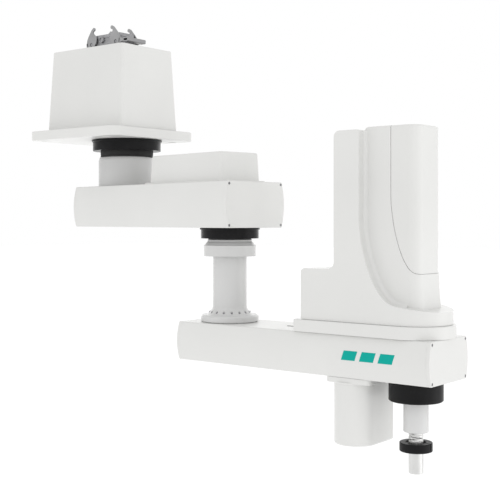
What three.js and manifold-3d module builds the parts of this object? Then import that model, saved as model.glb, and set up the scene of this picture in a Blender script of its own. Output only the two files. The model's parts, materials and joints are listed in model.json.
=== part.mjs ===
// A four-axis SCARA robot arm that hangs under a ceiling frame: a base with a
// connector on its roof, two arms on vertical joints, and a ball-screw spline
// shaft that turns and slides at the far end of the second arm.
// Millimetres, +Z up. The origin is on the first joint's axis, in the plane of
// the base plate's upper face. +X runs along the base, -Y is the near side.

import * as THREE from 'three';
import { mergeVertices } from 'three/addons/utils/BufferGeometryUtils.js';
import Module from 'manifold-3d';

const wasm = await Module();
wasm.setup();

// ---------------------------------------------------------------- dimensions
const GAP = 0.3;            // between two pieces that rest on each other
const ARM_1_LENGTH = 250;   // first joint to second joint
const ARM_2_LENGTH = 300;   // second joint to the shaft
const ARM_1_TURN = -8.9;    // degrees from the base's +X, at rest

// base
const PLATE = { rear: -134, front: 66, half: 92, thick: 15, corner: 16 };
const PLATE_HOLE = { rear: -112, front: 30, y: 74, r: 6.5 };
const PLATE_BORE_R = 40;
const MOTOR_1 = { bottom: 18, top: 96 };
const REDUCER_1 = { r: 38, bottom: -14.4, flangeR: 44, flangeTop: 12, capR: 30, top: 17.6 };
const WIRING_BOX = { rear: -104, front: -72, half: 34, top: 62 };
const GASKET_THICK = 1.4;
const GASKET_EDGE = 1;
const HOUSING = {
  bottom: { rear: -120.3, front: 52.8, half: 63.3 },
  top: { rear: -114.3, front: 46.3, half: 57.3 },
  z: 130.6, corner: 6, wall: 4,
};
const CONNECTOR = { x: -34, halfLength: 34.5, halfWidth: 16.2, top: 157.5, wall: 3 };
const LEVER = { pivot: 28, z: 143, plate: 2.4, hook: 23.5, lean: -13 };
const FRONT_HANDLE = { reach: 31, bar: 5 };   // the lever that is pulled
const REAR_HANDLE = { reach: 12, bar: 1.9 };  // a short one, close to the wall

// first joint
const RING_1 = { flangeR: 56, flangeZ: -18.1, r: 54.2, z: -32.7, bore: 42.3 };
const SEAL_1 = { r: 42, bore: 35, top: -24, z: -42.5 };
const COLUMN_1 = { r: 42, back: 5.5, spigotR: 34, chamfer: 1.6, chamferZ: 6, bore: 22 };

// arm 1 (heights are along the base's Z)
const ARM_1 = { top: -89.6, bottom: -154, rear: -70.3, front: 304, half: 51, bulge: 4.9 };
const ARM_WALL = 5;
const END_COVER = 5;
const END_SCREW = { r: 2.2, inset: 4, side: 2.2, head: 1 };
const MOTOR_COVER = {
  bottom: { rear: 110, front: 273.5, half: 38 },
  top: { rear: 112, front: 272, half: 36 },
  z: -47.1, lip: 6, lipThick: 2, corner: 5, wall: 2.5,
};
const BELT_1_Z = -60;       // middle of the second joint's belt
const MOTOR_2 = { x: 150, bottom: -148.6, top: -72, shaftR: 4, shaftTop: -52, pulleyR: 12 };
const REDUCER_2 = { bottom: -148.6, top: -112, r: 38, neckR: 32, step: -126, neck: -118 };
const INPUT_2 = { pulleyR: 14, shaftR: 5 };

// second joint
const RING_2 = { flangeR: 42.9, flangeZ: -156.8, r: 41.2, z: -169.2, bore: 31.1 };
const SEAL_2 = { r: 30.8, bore: 27, top: -160, z: -170.5 };
const NECK = { spigotR: 26.5, top: -157, r: 31.6, collarR: 37.4, collarTop: -179, z: -194.4 };
const TUBE = { r: 24.2, bore: 18, flareTop: -264.4, flareR: 30.8, flareZ: -276.2, footR: 41 };

// arm 2
const ARM_2 = { top: -287.5, bottom: -341.3, rear: -56.6, front: 345.7, half: 45.3, bulge: 5.3 };
const PLINTH = { rear: 146, half: 49.5, z: -271.5, rim: 9 };
const TOWER = {
  half: 46, rear: 155.6, lowTop: -205.2, slabRear: 208, slabFront: 245.2, slabTop: -30.4,
  wall: 3, round: 3,
};
const COLUMN = { rear: 218, front: 321, half: 31.6, corner: 14, top: -26.5, wall: 3 };
const FRONT_SHELL_INSET = 0.8;
const SPIGOT_ROOM = 12;      // clearance round the Z motor's shaft, in arm 2's floor
const SKIRT_FRONT = 347;
const SEAM_FRONT = 340;

// the shaft's end of arm 2
const SHAFT = { r: 9.15, top: -60, z: -457.5 };
const INNER_SIDES = 24;      // sides of a round piece that the covers hide
const SHAFT_CLEARANCE = 0.1;
const RING_3 = { r: 34, z: -367.3, bore: 30, lip: 21.5, lipThick: 3 };
const SLEEVE = { r: 15.6, z: -405.8 };
const COLLAR = { r: 20.5, top: -418.8, z: -429.7, slot: 1.6 };
const TOP_STOP = { r: 13, top: -64, thick: 8 };
const NUT_PULLEY_R = 24;
const NUT_BODY_R = 19.5;
const BELT_Z_Z = -303;      // middle of the ball-screw nut's belt
const BELT_R_Z = -329;      // middle of the spline nut's belt
const BELT_WIDTH = 10;
const BELT_THICK = 1.4;

// motors
const SERVO_60 = { half: 30, corner: 6 };
const SERVO_58 = { half: 29, corner: 6 };
const SERVO_40 = { half: 20, corner: 5 };
const Z_MOTOR = { x: 222.5, y: 0, top: -349, bottom: -419, pulleyR: 10 };
const R_MOTOR = { x: 180, top: -212, bottom: -281, pulleyR: 9 };
const LOWER_COVER = {
  rear: 195, front: 250, arcY: -16.5, far: 31, z: -427.4, wall: 2.5,
  flange: { rear: 193, front: 258, near: 43, far: 39, corner: 8, z: -350.3 },
};

/** Points along a cubic curve with two handles, in X and Z. */
function bend(start, handle1, handle2, end, n = 9) {
  const [p0, p1, p2, p3] = [start, handle1, handle2, end].map(([x, z]) => new THREE.Vector2(x, z));
  return new THREE.CubicBezierCurve(p0, p1, p2, p3).getPoints(n).map((p) => [p.x, p.y]);
}

// the curve where the tower's side sweeps down into its skirt (x, z)
const SWEEP = [...bend([245.2, -140], [245.2, -180], [266, -244.5], [296, -248]), [SKIRT_FRONT, -255.5]];
// the seam that the tower's upper front shell ends at (x, z)
const SEAM = [[282.1, -20], ...bend([282.1, -110], [282.1, -150], [298, -207], [318, -209]), [SEAM_FRONT, -212]];

// ----------------------------------------------------------------- materials
const paint = (color, roughness, metalness) =>
  new THREE.MeshStandardMaterial({ color, roughness, metalness });
const WHITE = paint(0xe9e9e6, 0.45, 0);
const GREY_PAINT = paint(0xc4c4c1, 0.45, 0.1);
const BLACK = paint(0x1b1b1c, 0.5, 0.1);
const STEEL = paint(0xc9cbcc, 0.28, 0.9);
const DARK_STEEL = paint(0x6f7276, 0.4, 0.8);
const CAST_GREY = paint(0x9b9fa1, 0.45, 0.6);
const RUBBER = paint(0x161616, 0.8, 0);
const INSERT_GREY = paint(0xb9b7ae, 0.6, 0);

// ------------------------------------------------------------------- solids
/** Turns a closed geometry into a solid that can be cut and joined. */
function solid(geometry, matrix = new THREE.Matrix4()) {
  const bare = geometry.index ? geometry.toNonIndexed() : geometry.clone();
  for (const name of Object.keys(bare.attributes)) {
    if (name !== 'position') bare.deleteAttribute(name);
  }
  bare.applyMatrix4(matrix);
  const merged = mergeVertices(bare, 1e-4);
  return new wasm.Manifold(new wasm.Mesh({
    numProp: 3,
    vertProperties: new Float32Array(merged.attributes.position.array),
    triVerts: new Uint32Array(merged.index.array),
  }));
}

/** Turns a solid back into a geometry. */
function geometryOf(body) {
  const mesh = body.getMesh();
  const geometry = new THREE.BufferGeometry();
  geometry.setAttribute('position', new THREE.BufferAttribute(new Float32Array(mesh.vertProperties), 3));
  geometry.setIndex(new THREE.BufferAttribute(new Uint32Array(mesh.triVerts), 1));
  geometry.computeVertexNormals();
  return geometry;
}

const cut = (body, ...tools) => tools.reduce((rest, tool) => rest.subtract(tool), body);
const join = (...bodies) => bodies.reduce((sum, body) => sum.add(body));
const move = (x, y, z) => new THREE.Matrix4().makeTranslation(x, y, z);

/** A box between two corners. */
function block(x0, x1, y0, y1, z0, z1) {
  const geometry = new THREE.BoxGeometry(x1 - x0, y1 - y0, z1 - z0);
  return solid(geometry, move((x0 + x1) / 2, (y0 + y1) / 2, (z0 + z1) / 2));
}

/** A cylinder along Z. */
function rod(x, y, r, z0, z1, sides = 32) {
  const geometry = new THREE.CylinderGeometry(r, r, z1 - z0, sides);
  const upright = new THREE.Matrix4().makeRotationX(Math.PI / 2);
  return solid(geometry, move(x, y, (z0 + z1) / 2).multiply(upright));
}

/** A turned piece about a vertical axis at (x, y), from a closed [r, z] outline. */
function turned(outline, x = 0, y = 0, sides = 40) {
  const points = outline.map(([r, z]) => new THREE.Vector2(r, z));
  if (THREE.ShapeUtils.area(points) < 0) points.reverse();
  points.push(points[0].clone());
  const upright = new THREE.Matrix4().makeRotationX(Math.PI / 2);
  return solid(new THREE.LatheGeometry(points, sides), move(x, y, 0).multiply(upright));
}

/** A rounded rectangle's outline, counter-clockwise, n points to each corner. */
function roundedOutline(x0, x1, y0, y1, r, n = 5) {
  const corners = [[x1 - r, y1 - r, 0], [x0 + r, y1 - r, 90], [x0 + r, y0 + r, 180], [x1 - r, y0 + r, 270]];
  const points = [];
  for (const [cx, cy, start] of corners) {
    for (let i = 0; i <= n; i += 1) {
      const angle = THREE.MathUtils.degToRad(start + (90 * i) / n);
      points.push([cx + r * Math.cos(angle), cy + r * Math.sin(angle)]);
    }
  }
  return points;
}

/** An outline with a straight back and a half-round front centred on (x, 0). */
function bulletOutline(rear, x, half, corner, n = 18) {
  const points = [];
  for (let i = 0; i <= n; i += 1) {
    const angle = THREE.MathUtils.degToRad(-90 + (180 * i) / n);
    points.push([x + half * Math.cos(angle), half * Math.sin(angle)]);
  }
  for (const [cy, start] of [[half - corner, 90], [corner - half, 180]]) {
    for (let i = 0; i <= 4; i += 1) {
      const angle = THREE.MathUtils.degToRad(start + (90 * i) / 4);
      points.push([rear + corner + corner * Math.cos(angle), cy + corner * Math.sin(angle)]);
    }
  }
  return points;
}

const shapeOf = (outline) => new THREE.Shape(outline.map(([x, y]) => new THREE.Vector2(x, y)));

/** An outline in X and Y raised from z0 to z1. */
function raised(outline, z0, z1) {
  const geometry = new THREE.ExtrudeGeometry(shapeOf(outline), { depth: z1 - z0, bevelEnabled: false });
  return solid(geometry, move(0, 0, z0));
}

/** An outline in X and Z, extruded across Y between -half and +half. */
function across(outline, half) {
  const geometry = new THREE.ExtrudeGeometry(shapeOf(outline), { depth: 2 * half, bevelEnabled: false });
  const basis = new THREE.Matrix4().makeBasis(
    new THREE.Vector3(1, 0, 0), new THREE.Vector3(0, 0, 1), new THREE.Vector3(0, -1, 0));
  return solid(geometry, move(0, half, 0).multiply(basis));
}

/** An outline in Y and Z, extruded along X from x0 to x1. */
function along(outline, x0, x1) {
  const geometry = new THREE.ExtrudeGeometry(shapeOf(outline), { depth: x1 - x0, bevelEnabled: false });
  const basis = new THREE.Matrix4().makeBasis(
    new THREE.Vector3(0, 1, 0), new THREE.Vector3(0, 0, 1), new THREE.Vector3(1, 0, 0));
  return solid(geometry, move(x0, 0, 0).multiply(basis));
}

/** A solid between two outlines of equal length at two heights. */
function tapered(lower, z0, upper, z1) {
  const n = lower.length;
  const positions = [];
  for (const [x, y] of lower) positions.push(x, y, z0);
  for (const [x, y] of upper) positions.push(x, y, z1);
  const index = [];
  for (let i = 0; i < n; i += 1) {
    const j = (i + 1) % n;
    index.push(i, j, n + j, i, n + j, n + i);
  }
  for (let i = 1; i < n - 1; i += 1) {
    index.push(0, i + 1, i, n, n + i, n + i + 1);
  }
  const geometry = new THREE.BufferGeometry();
  geometry.setAttribute('position', new THREE.Float32BufferAttribute(positions, 3));
  geometry.setIndex(index);
  return solid(geometry);
}

/** The barrel-sided section of an arm, in Y and Z, drawn in by a wall. */
function barrelOutline(arm, wall = 0, n = 8) {
  const middle = (arm.top + arm.bottom) / 2;
  const rise = (arm.top - arm.bottom) / 2;
  const points = [];
  for (const side of [1, -1]) {
    for (let i = 0; i <= n; i += 1) {
      const t = side * (-1 + (2 * i) / n);
      const y = side * (arm.half + arm.bulge * (1 - t * t) - wall);
      points.push([y, middle + t * (rise - wall)]);
    }
  }
  return points;
}

/** A flat belt loop round two pulleys on the line y = 0. */
function beltLoop(x0, r0, x1, r1, z) {
  const lean = Math.asin((r1 - r0) / (x1 - x0));
  const loop = (extra, n = 14) => {
    const points = [];
    for (let i = 0; i <= n; i += 1) {
      const angle = -Math.PI / 2 - lean + ((Math.PI + 2 * lean) * i) / n;
      points.push([x1 + (r1 + extra) * Math.cos(angle), (r1 + extra) * Math.sin(angle)]);
    }
    for (let i = 0; i <= n; i += 1) {
      const angle = Math.PI / 2 + lean + ((Math.PI - 2 * lean) * i) / n;
      points.push([x0 + (r0 + extra) * Math.cos(angle), (r0 + extra) * Math.sin(angle)]);
    }
    return points;
  };
  const half = BELT_WIDTH / 2;
  return cut(
    raised(loop(GAP + BELT_THICK), z - half, z + half),
    raised(loop(GAP), z - half - 1, z + half + 1));
}

/** A toothed pulley with two flanges, on a vertical axis. */
function pulley(x, y, r, bore, z) {
  const half = BELT_WIDTH / 2;
  const flange = 1.5;
  const rim = r + 2;
  const low = z - half - 0.6;
  const high = z + half + 0.6;
  return turned([
    [bore, low - flange], [rim, low - flange], [rim, low], [r, low],
    [r, high], [rim, high], [rim, high + flange], [bore, high + flange],
  ], x, y, INNER_SIDES);
}

/** A servo motor: square body, rounded corners, round encoder cap at one end. */
function servo(x, y, frame, z0, z1, capAtTop) {
  const { half, corner } = frame;
  const cap = 14;
  const bodyLow = capAtTop ? z0 : z0 + cap;
  const bodyHigh = capAtTop ? z1 - cap : z1;
  const square = roundedOutline(x - half, x + half, y - half, y + half, corner, 3);
  return join(
    raised(square, bodyLow, bodyHigh),
    rod(x, y, half * 0.82, z0, z1, INNER_SIDES));
}

const addTo = (group, name, body, material) => {
  const geometry = body.isBufferGeometry ? body : geometryOf(body);
  const mesh = new THREE.Mesh(geometry, material);
  mesh.name = name;
  group.add(mesh);
  return mesh;
};

const robot = new THREE.Group();
const arm1 = new THREE.Group();
const arm2 = new THREE.Group();
arm1.rotation.z = THREE.MathUtils.degToRad(ARM_1_TURN);
arm2.position.x = ARM_1_LENGTH;
arm2.rotation.z = -THREE.MathUtils.degToRad(ARM_1_TURN);
robot.add(arm1);
arm1.add(arm2);

// --------------------------------------------------------------------- base
function basePlate() {
  const plate = raised(
    roundedOutline(PLATE.rear, PLATE.front, -PLATE.half, PLATE.half, PLATE.corner), -PLATE.thick, 0);
  const holes = [];
  for (const x of [PLATE_HOLE.rear, PLATE_HOLE.front]) {
    for (const y of [-PLATE_HOLE.y, PLATE_HOLE.y]) {
      holes.push(rod(x, y, PLATE_HOLE.r, -PLATE.thick - 1, 1, 24));
    }
  }
  return cut(plate, rod(0, 0, PLATE_BORE_R, -PLATE.thick - 1, 1, 48), ...holes);
}

function baseGasket() {
  const { rear, front, half } = HOUSING.bottom;
  const e = GASKET_EDGE;
  const inside = 12;
  const frame = raised(
    roundedOutline(rear - e, front + e, -half - e, half + e, HOUSING.corner + e, 3), GAP, GASKET_THICK);
  const window = raised(
    roundedOutline(rear + inside, front - 2, -half + inside, half - inside, HOUSING.corner, 3), -1, 5);
  return cut(frame, window);
}

function baseHousing() {
  const section = ({ rear, front, half }, wall) => roundedOutline(
    rear + wall, front - wall, -half + wall, half - wall, HOUSING.corner, 4);
  const low = GASKET_THICK + GAP;
  const wall = HOUSING.wall;
  const outside = tapered(section(HOUSING.bottom, 0), low, section(HOUSING.top, 0), HOUSING.z);
  const inside = tapered(section(HOUSING.bottom, wall), low - 1, section(HOUSING.top, wall), HOUSING.z - wall);
  const half = { x: CONNECTOR.halfLength - 5, y: CONNECTOR.halfWidth - 3 };
  const opening = block(
    CONNECTOR.x - half.x, CONNECTOR.x + half.x, -half.y, half.y, HOUSING.z - 10, HOUSING.z + 10);
  return cut(outside, inside, opening);
}

function connectorHousing() {
  const { x, halfLength, halfWidth, top, wall } = CONNECTOR;
  const low = HOUSING.z + GAP;
  const flange = raised(
    roundedOutline(x - halfLength - 5, x + halfLength + 5, -halfWidth - 4, halfWidth + 4, 5, 3), low, low + 4);
  const shell = raised(
    roundedOutline(x - halfLength, x + halfLength, -halfWidth, halfWidth, 4, 3), low, top);
  const cavity = raised(
    roundedOutline(x - halfLength + wall, x + halfLength - wall, -halfWidth + wall, halfWidth - wall, 2, 3),
    low - 1, top + 1);
  const pins = [];
  for (const end of [-1, 1]) {
    const pin = new THREE.CylinderGeometry(2.2, 2.2, 2 * halfWidth + 7, 16);
    pins.push(cut(
      solid(pin, move(x + end * LEVER.pivot, 0, LEVER.z)),
      block(x - 60, x + 60, -halfWidth + 1, halfWidth - 1, LEVER.z - 5, LEVER.z + 5)));
  }
  return join(cut(join(flange, shell), cavity), ...pins);
}

function connectorInsert() {
  const { x, halfLength, halfWidth, wall } = CONNECTOR;
  const length = halfLength - wall - GAP;
  const width = halfWidth - wall - GAP;
  const neck = { x: halfLength - 6, y: halfWidth - 4 };
  return join(
    raised(roundedOutline(x - length, x + length, -width, width, 2.2, 3), HOUSING.z + 4, HOUSING.z + 19),
    block(x - neck.x, x + neck.x, -neck.y, neck.y, HOUSING.z - 12, HOUSING.z + 5));
}

/** A locking lever: two hooked side plates and the handle bar that joins them. */
function connectorLever(end, { reach, bar: barHalf }) {
  const pivotX = CONNECTOR.x + end * LEVER.pivot;
  const shoulder = Math.min(8, reach - 1);
  const at = (dx, dz) => [pivotX + end * dx, LEVER.z + dz];
  const hookHead = 3.4;
  let outline = [
    at(-5, -2), at(-3, -5), at(2, -5), at(reach, -4), at(reach, 3), at(shoulder, 5), at(2, 9),
    at(LEVER.lean + 4, LEVER.hook), at(LEVER.lean, LEVER.hook + hookHead),
    at(LEVER.lean - 4, LEVER.hook), at(LEVER.lean - 3, LEVER.hook - 4),
    at(LEVER.lean, LEVER.hook - 2), at(-4, 8), at(-6, 3),
  ];
  if (end < 0) outline = outline.reverse();
  const inner = CONNECTOR.halfWidth + 0.6;
  const outer = inner + LEVER.plate;
  const plates = cut(
    across(outline, outer),
    block(pivotX - 60, pivotX + 60, -inner, inner, LEVER.z - 40, LEVER.z + 60));
  const barAt = pivotX + end * (reach - barHalf);
  const bar = block(barAt - barHalf, barAt + barHalf, -outer, outer, LEVER.z - 3.4, LEVER.z + 2.6);
  const pin = new THREE.CylinderGeometry(2.5, 2.5, 60, 16);
  return cut(join(plates, bar), solid(pin, move(pivotX, 0, LEVER.z)));
}

addTo(robot, 'base_plate', basePlate(), WHITE);
addTo(robot, 'base_gasket', baseGasket(), RUBBER);
addTo(robot, 'base_housing', baseHousing(), WHITE);
addTo(robot, 'connector_housing', connectorHousing(), CAST_GREY);
addTo(robot, 'connector_insert', connectorInsert(), INSERT_GREY);
addTo(robot, 'connector_lever_front', connectorLever(1, FRONT_HANDLE), STEEL);
addTo(robot, 'connector_lever_rear', connectorLever(-1, REAR_HANDLE), STEEL);
addTo(robot, 'wiring_box', raised(
  roundedOutline(WIRING_BOX.rear, WIRING_BOX.front, -WIRING_BOX.half, WIRING_BOX.half, 4, 3),
  GASKET_THICK + GAP, WIRING_BOX.top), BLACK);
addTo(robot, 'j1_motor', servo(0, 0, SERVO_60, MOTOR_1.bottom, MOTOR_1.top, true), BLACK);
addTo(robot, 'j1_reducer', turned([
  [0, REDUCER_1.bottom], [REDUCER_1.r, REDUCER_1.bottom], [REDUCER_1.r, GAP],
  [REDUCER_1.flangeR, GAP], [REDUCER_1.flangeR, REDUCER_1.flangeTop],
  [REDUCER_1.capR, REDUCER_1.flangeTop], [REDUCER_1.capR, REDUCER_1.top], [0, REDUCER_1.top],
], 0, 0, INNER_SIDES), STEEL);
addTo(robot, 'j1_ring', turned([
  [RING_1.bore, -PLATE.thick - GAP], [RING_1.flangeR, -PLATE.thick - GAP],
  [RING_1.flangeR, RING_1.flangeZ], [RING_1.r, RING_1.flangeZ],
  [RING_1.r, RING_1.z], [RING_1.bore, RING_1.z],
]), BLACK);
addTo(robot, 'j1_seal', turned([
  [SEAL_1.bore, SEAL_1.z], [SEAL_1.r, SEAL_1.z], [SEAL_1.r, SEAL_1.top], [SEAL_1.bore, SEAL_1.top],
]), RUBBER);

// -------------------------------------------------------------------- arm 1
function column1() {
  const { r, back, spigotR, chamfer, chamferZ, bore } = COLUMN_1;
  const oval = (radius) => {
    const points = [];
    for (let i = 0; i <= 40; i += 1) {
      const angle = THREE.MathUtils.degToRad(-90 + (180 * (i % 41)) / 20);
      const shift = i <= 20 ? 0 : -back;
      points.push([shift + radius * Math.cos(angle), radius * Math.sin(angle)]);
    }
    return points;
  };
  const top = SEAL_1.z - GAP;
  return cut(
    join(
      raised(oval(r), ARM_1.top + GAP, top - chamferZ),
      tapered(oval(r), top - chamferZ, oval(r - chamfer), top),
      rod(0, 0, spigotR, top - 1, -PLATE.thick + 0.3, 48)),
    rod(0, 0, bore, ARM_1.top - 5, 5, 32));
}

/** An arm's hollow beam, open at both ends. */
function armShell(arm, cuts) {
  const rear = arm.rear + END_COVER;
  const front = arm.front - END_COVER;
  const beam = along(barrelOutline(arm), rear, front);
  const hollow = along(barrelOutline(arm, ARM_WALL), rear - 5, front + 5);
  return cut(beam, hollow, ...cuts);
}

/** The flat cover that closes an arm's end, with the heads of its four corner screws. */
function endCover(arm, end) {
  const inner = end > 0 ? arm.front - END_COVER + GAP : arm.rear;
  const outer = end > 0 ? arm.front : arm.rear + END_COVER - GAP;
  const plate = along(barrelOutline(arm), inner, outer);
  const face = end > 0 ? arm.front : arm.rear;
  const heads = [];
  for (const y of [-1, 1]) {
    for (const z of [arm.top - END_SCREW.inset, arm.bottom + END_SCREW.inset]) {
      const head = new THREE.CylinderGeometry(END_SCREW.r, END_SCREW.r, 2 * END_SCREW.head, 12);
      const lie = new THREE.Matrix4().makeRotationZ(Math.PI / 2);
      heads.push(solid(head, move(face, y * (arm.half - END_SCREW.side), z).multiply(lie)));
    }
  }
  return join(plate, ...heads);
}

function motorCover() {
  const { bottom, top, z, lip, lipThick, corner, wall } = MOTOR_COVER;
  const section = ({ rear, front, half }, grow) => roundedOutline(
    rear - grow, front + grow, -half - grow, half + grow, corner, 4);
  const low = ARM_1.top + GAP;
  return cut(
    join(
      raised(section(bottom, lip), low, low + lipThick),
      tapered(section(bottom, 0), low, section(top, 0), z)),
    tapered(section(bottom, -wall), low - 1, section(top, -wall), z - wall));
}

const topOpening1 = block(118, 264, -30.5, 30.5, ARM_1.top - 8, ARM_1.top + 2);
addTo(arm1, 'j1_column', column1(), GREY_PAINT);
addTo(arm1, 'arm_1_shell', armShell(ARM_1, [
  topOpening1,
  rod(0, 0, COLUMN_1.bore, ARM_1.top - 8, ARM_1.top + 2),
  rod(ARM_1_LENGTH, 0, 28, ARM_1.bottom - 2, ARM_1.bottom + 8, 48),
]), WHITE);
addTo(arm1, 'arm_1_front_cover', endCover(ARM_1, 1), WHITE);
addTo(arm1, 'arm_1_rear_cover', endCover(ARM_1, -1), WHITE);
addTo(arm1, 'arm_1_motor_cover', motorCover(), WHITE);
addTo(arm1, 'j2_motor', join(
  servo(MOTOR_2.x, 0, SERVO_58, MOTOR_2.bottom, MOTOR_2.top, false),
  rod(MOTOR_2.x, 0, MOTOR_2.shaftR, MOTOR_2.top - 1, MOTOR_2.shaftTop, 16)), BLACK);
addTo(arm1, 'j2_reducer', turned([
  [0, REDUCER_2.bottom], [REDUCER_2.r, REDUCER_2.bottom], [REDUCER_2.r, REDUCER_2.step],
  [REDUCER_2.neckR, REDUCER_2.neck], [REDUCER_2.neckR, REDUCER_2.top], [0, REDUCER_2.top],
], ARM_1_LENGTH, 0, INNER_SIDES), STEEL);
addTo(arm1, 'j2_motor_pulley', pulley(MOTOR_2.x, 0, MOTOR_2.pulleyR, MOTOR_2.shaftR + 0.2, BELT_1_Z), DARK_STEEL);
addTo(arm1, 'j2_input_pulley', join(
  pulley(ARM_1_LENGTH, 0, INPUT_2.pulleyR, INPUT_2.shaftR - 1, BELT_1_Z),
  rod(ARM_1_LENGTH, 0, INPUT_2.shaftR, REDUCER_2.top + GAP, BELT_1_Z, 20)), DARK_STEEL);
addTo(arm1, 'j2_belt', beltLoop(MOTOR_2.x, MOTOR_2.pulleyR, ARM_1_LENGTH, INPUT_2.pulleyR, BELT_1_Z), RUBBER);
addTo(arm1, 'j2_ring', turned([
  [RING_2.bore, ARM_1.bottom - GAP], [RING_2.flangeR, ARM_1.bottom - GAP],
  [RING_2.flangeR, RING_2.flangeZ], [RING_2.r, RING_2.flangeZ],
  [RING_2.r, RING_2.z], [RING_2.bore, RING_2.z],
], ARM_1_LENGTH), BLACK);
addTo(arm1, 'j2_seal', turned([
  [SEAL_2.bore, SEAL_2.z], [SEAL_2.r, SEAL_2.z], [SEAL_2.r, SEAL_2.top], [SEAL_2.bore, SEAL_2.top],
], ARM_1_LENGTH, 0, 32), RUBBER);

// -------------------------------------------------------------------- arm 2
addTo(arm2, 'j2_neck', turned([
  [TUBE.bore, NECK.z], [NECK.collarR, NECK.z], [NECK.collarR, NECK.collarTop],
  [35.6, NECK.collarTop + 0.8], [33.3, -175.3], [NECK.r, -173.5],
  [NECK.r, SEAL_2.z - GAP], [NECK.spigotR, SEAL_2.z - GAP], [NECK.spigotR, -149], [TUBE.bore, -149],
]), GREY_PAINT);
addTo(arm2, 'j2_tube', turned([
  [TUBE.bore, ARM_2.top + GAP], [TUBE.footR - 1, ARM_2.top + GAP], [TUBE.footR, ARM_2.top + GAP + 1],
  [TUBE.footR, TUBE.flareZ - 3], [TUBE.footR - 2, TUBE.flareZ - 1], [TUBE.flareR + 1.5, TUBE.flareZ - 1],
  [TUBE.flareR, TUBE.flareZ], [28.9, -273], [26.1, -270.2], [24.8, -267], [TUBE.r, TUBE.flareTop],
  [TUBE.r, NECK.z - GAP], [TUBE.bore, NECK.z - GAP],
]), GREY_PAINT);

const shaftX = ARM_2_LENGTH;
const shaftBore = SHAFT.r + SHAFT_CLEARANCE;
addTo(arm2, 'arm_2_shell', armShell(ARM_2, [
  rod(0, 0, TUBE.bore, ARM_2.top - 8, ARM_2.top + 2),
  block(158, 340, -28, 28, ARM_2.top - 8, ARM_2.top + 2),
  rod(shaftX, 0, 28, ARM_2.bottom - 2, ARM_2.bottom + 8, 48),
  rod(Z_MOTOR.x, Z_MOTOR.y, SPIGOT_ROOM, ARM_2.bottom - 2, ARM_2.bottom + 8),
]), WHITE);
addTo(arm2, 'arm_2_front_cover', endCover(ARM_2, 1), WHITE);
addTo(arm2, 'arm_2_rear_cover', endCover(ARM_2, -1), WHITE);
addTo(arm2, 'tower_plinth', cut(
  raised(bulletOutline(PLINTH.rear, shaftX, PLINTH.half, 6), ARM_2.top + GAP, PLINTH.z),
  raised(bulletOutline(PLINTH.rear + PLINTH.rim, shaftX, PLINTH.half - PLINTH.rim, 4),
    ARM_2.top - 1, PLINTH.z + 1)), WHITE);

// The tower's cover: a low rear box, a tall slab and a skirt that sweeps
// forward; a narrower column in front of the slab; an upper front shell.
function towerOutline(wall) {
  const foot = PLINTH.z + GAP - (wall > 0 ? 1 : 0);
  const { rear, lowTop, slabRear, slabTop, slabFront, round } = TOWER;
  const points = [[SKIRT_FRONT - wall, foot]];
  const drop = wall * 0.9;
  for (let i = SWEEP.length - 1; i >= 0; i -= 1) {
    points.push([SWEEP[i][0] - wall, SWEEP[i][1] - drop]);
  }
  points.push([slabFront - wall, slabTop - wall - round], [slabFront - wall - round, slabTop - wall]);
  points.push([slabRear + wall + round, slabTop - wall], [slabRear + wall, slabTop - wall - round]);
  for (const [dx, dz] of [[0, 10], [0.9, 5], [3.2, 1.6], [8, 0]]) {
    points.push([slabRear + wall - dx, lowTop - wall + dz]);
  }
  points.push([rear + wall + round, lowTop - wall], [rear + wall, lowTop - wall - round]);
  points.push([rear + wall, foot]);
  return points;
}

function columnPlan(grow, inset = 0) {
  const { rear, front, half, corner } = COLUMN;
  return roundedOutline(rear, front + grow, -half - grow + inset, half + grow - inset, corner, 6);
}

const outerPlan = bulletOutline(TOWER.rear, shaftX, TOWER.half, 4);
const innerPlan = bulletOutline(
  TOWER.rear + TOWER.wall, shaftX, TOWER.half - TOWER.wall, 2);
const towerBlock = across(towerOutline(0), TOWER.half + 1)
  .intersect(raised(outerPlan, PLINTH.z + GAP, 0));
const towerRoom = across(towerOutline(TOWER.wall), TOWER.half + 1)
  .intersect(raised(innerPlan, PLINTH.z - 5, 0));
const columnBlock = raised(columnPlan(0), PLINTH.z + GAP, COLUMN.top);
const columnRoom = raised(columnPlan(-COLUMN.wall), PLINTH.z - 5, COLUMN.top - COLUMN.wall);
const seamOutline = [...SEAM, [SEAM_FRONT, -20]].reverse();
const seamBlock = across(seamOutline, TOWER.half + 1);

addTo(arm2, 'tower_rear_shell', cut(towerBlock, towerRoom, columnRoom.intersect(
  block(230, 360, -60, 60, -300, TOWER.slabTop - TOWER.wall - 2))), WHITE);
const clearOfTower = across(towerOutline(-GAP), TOWER.half + 1);
const column = cut(
  columnBlock.intersect(block(TOWER.slabFront + GAP, 400, -60, 60, -300, 0)), clearOfTower, columnRoom);
const seamClear = across(seamOutline.map(([x, z]) => [x - GAP, z - GAP]), TOWER.half + 1);
addTo(arm2, 'tower_column_shell', cut(column, seamClear), WHITE);
addTo(arm2, 'tower_front_shell', cut(column, columnRoom).intersect(seamBlock).intersect(
  raised(columnPlan(0, FRONT_SHELL_INSET), -400, 0)), WHITE);

// ------------------------------------------------- drives for the shaft
addTo(arm2, 'j4_motor', join(
  servo(R_MOTOR.x, 0, SERVO_40, R_MOTOR.bottom, R_MOTOR.top, true),
  rod(R_MOTOR.x, 0, 3.5, -336, R_MOTOR.bottom + 1, 16)), BLACK);
addTo(arm2, 'z_motor', join(
  servo(Z_MOTOR.x, Z_MOTOR.y, SERVO_40, Z_MOTOR.bottom, Z_MOTOR.top, false),
  rod(Z_MOTOR.x, Z_MOTOR.y, 3.5, Z_MOTOR.top - 1, -296, 16)), BLACK);

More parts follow.
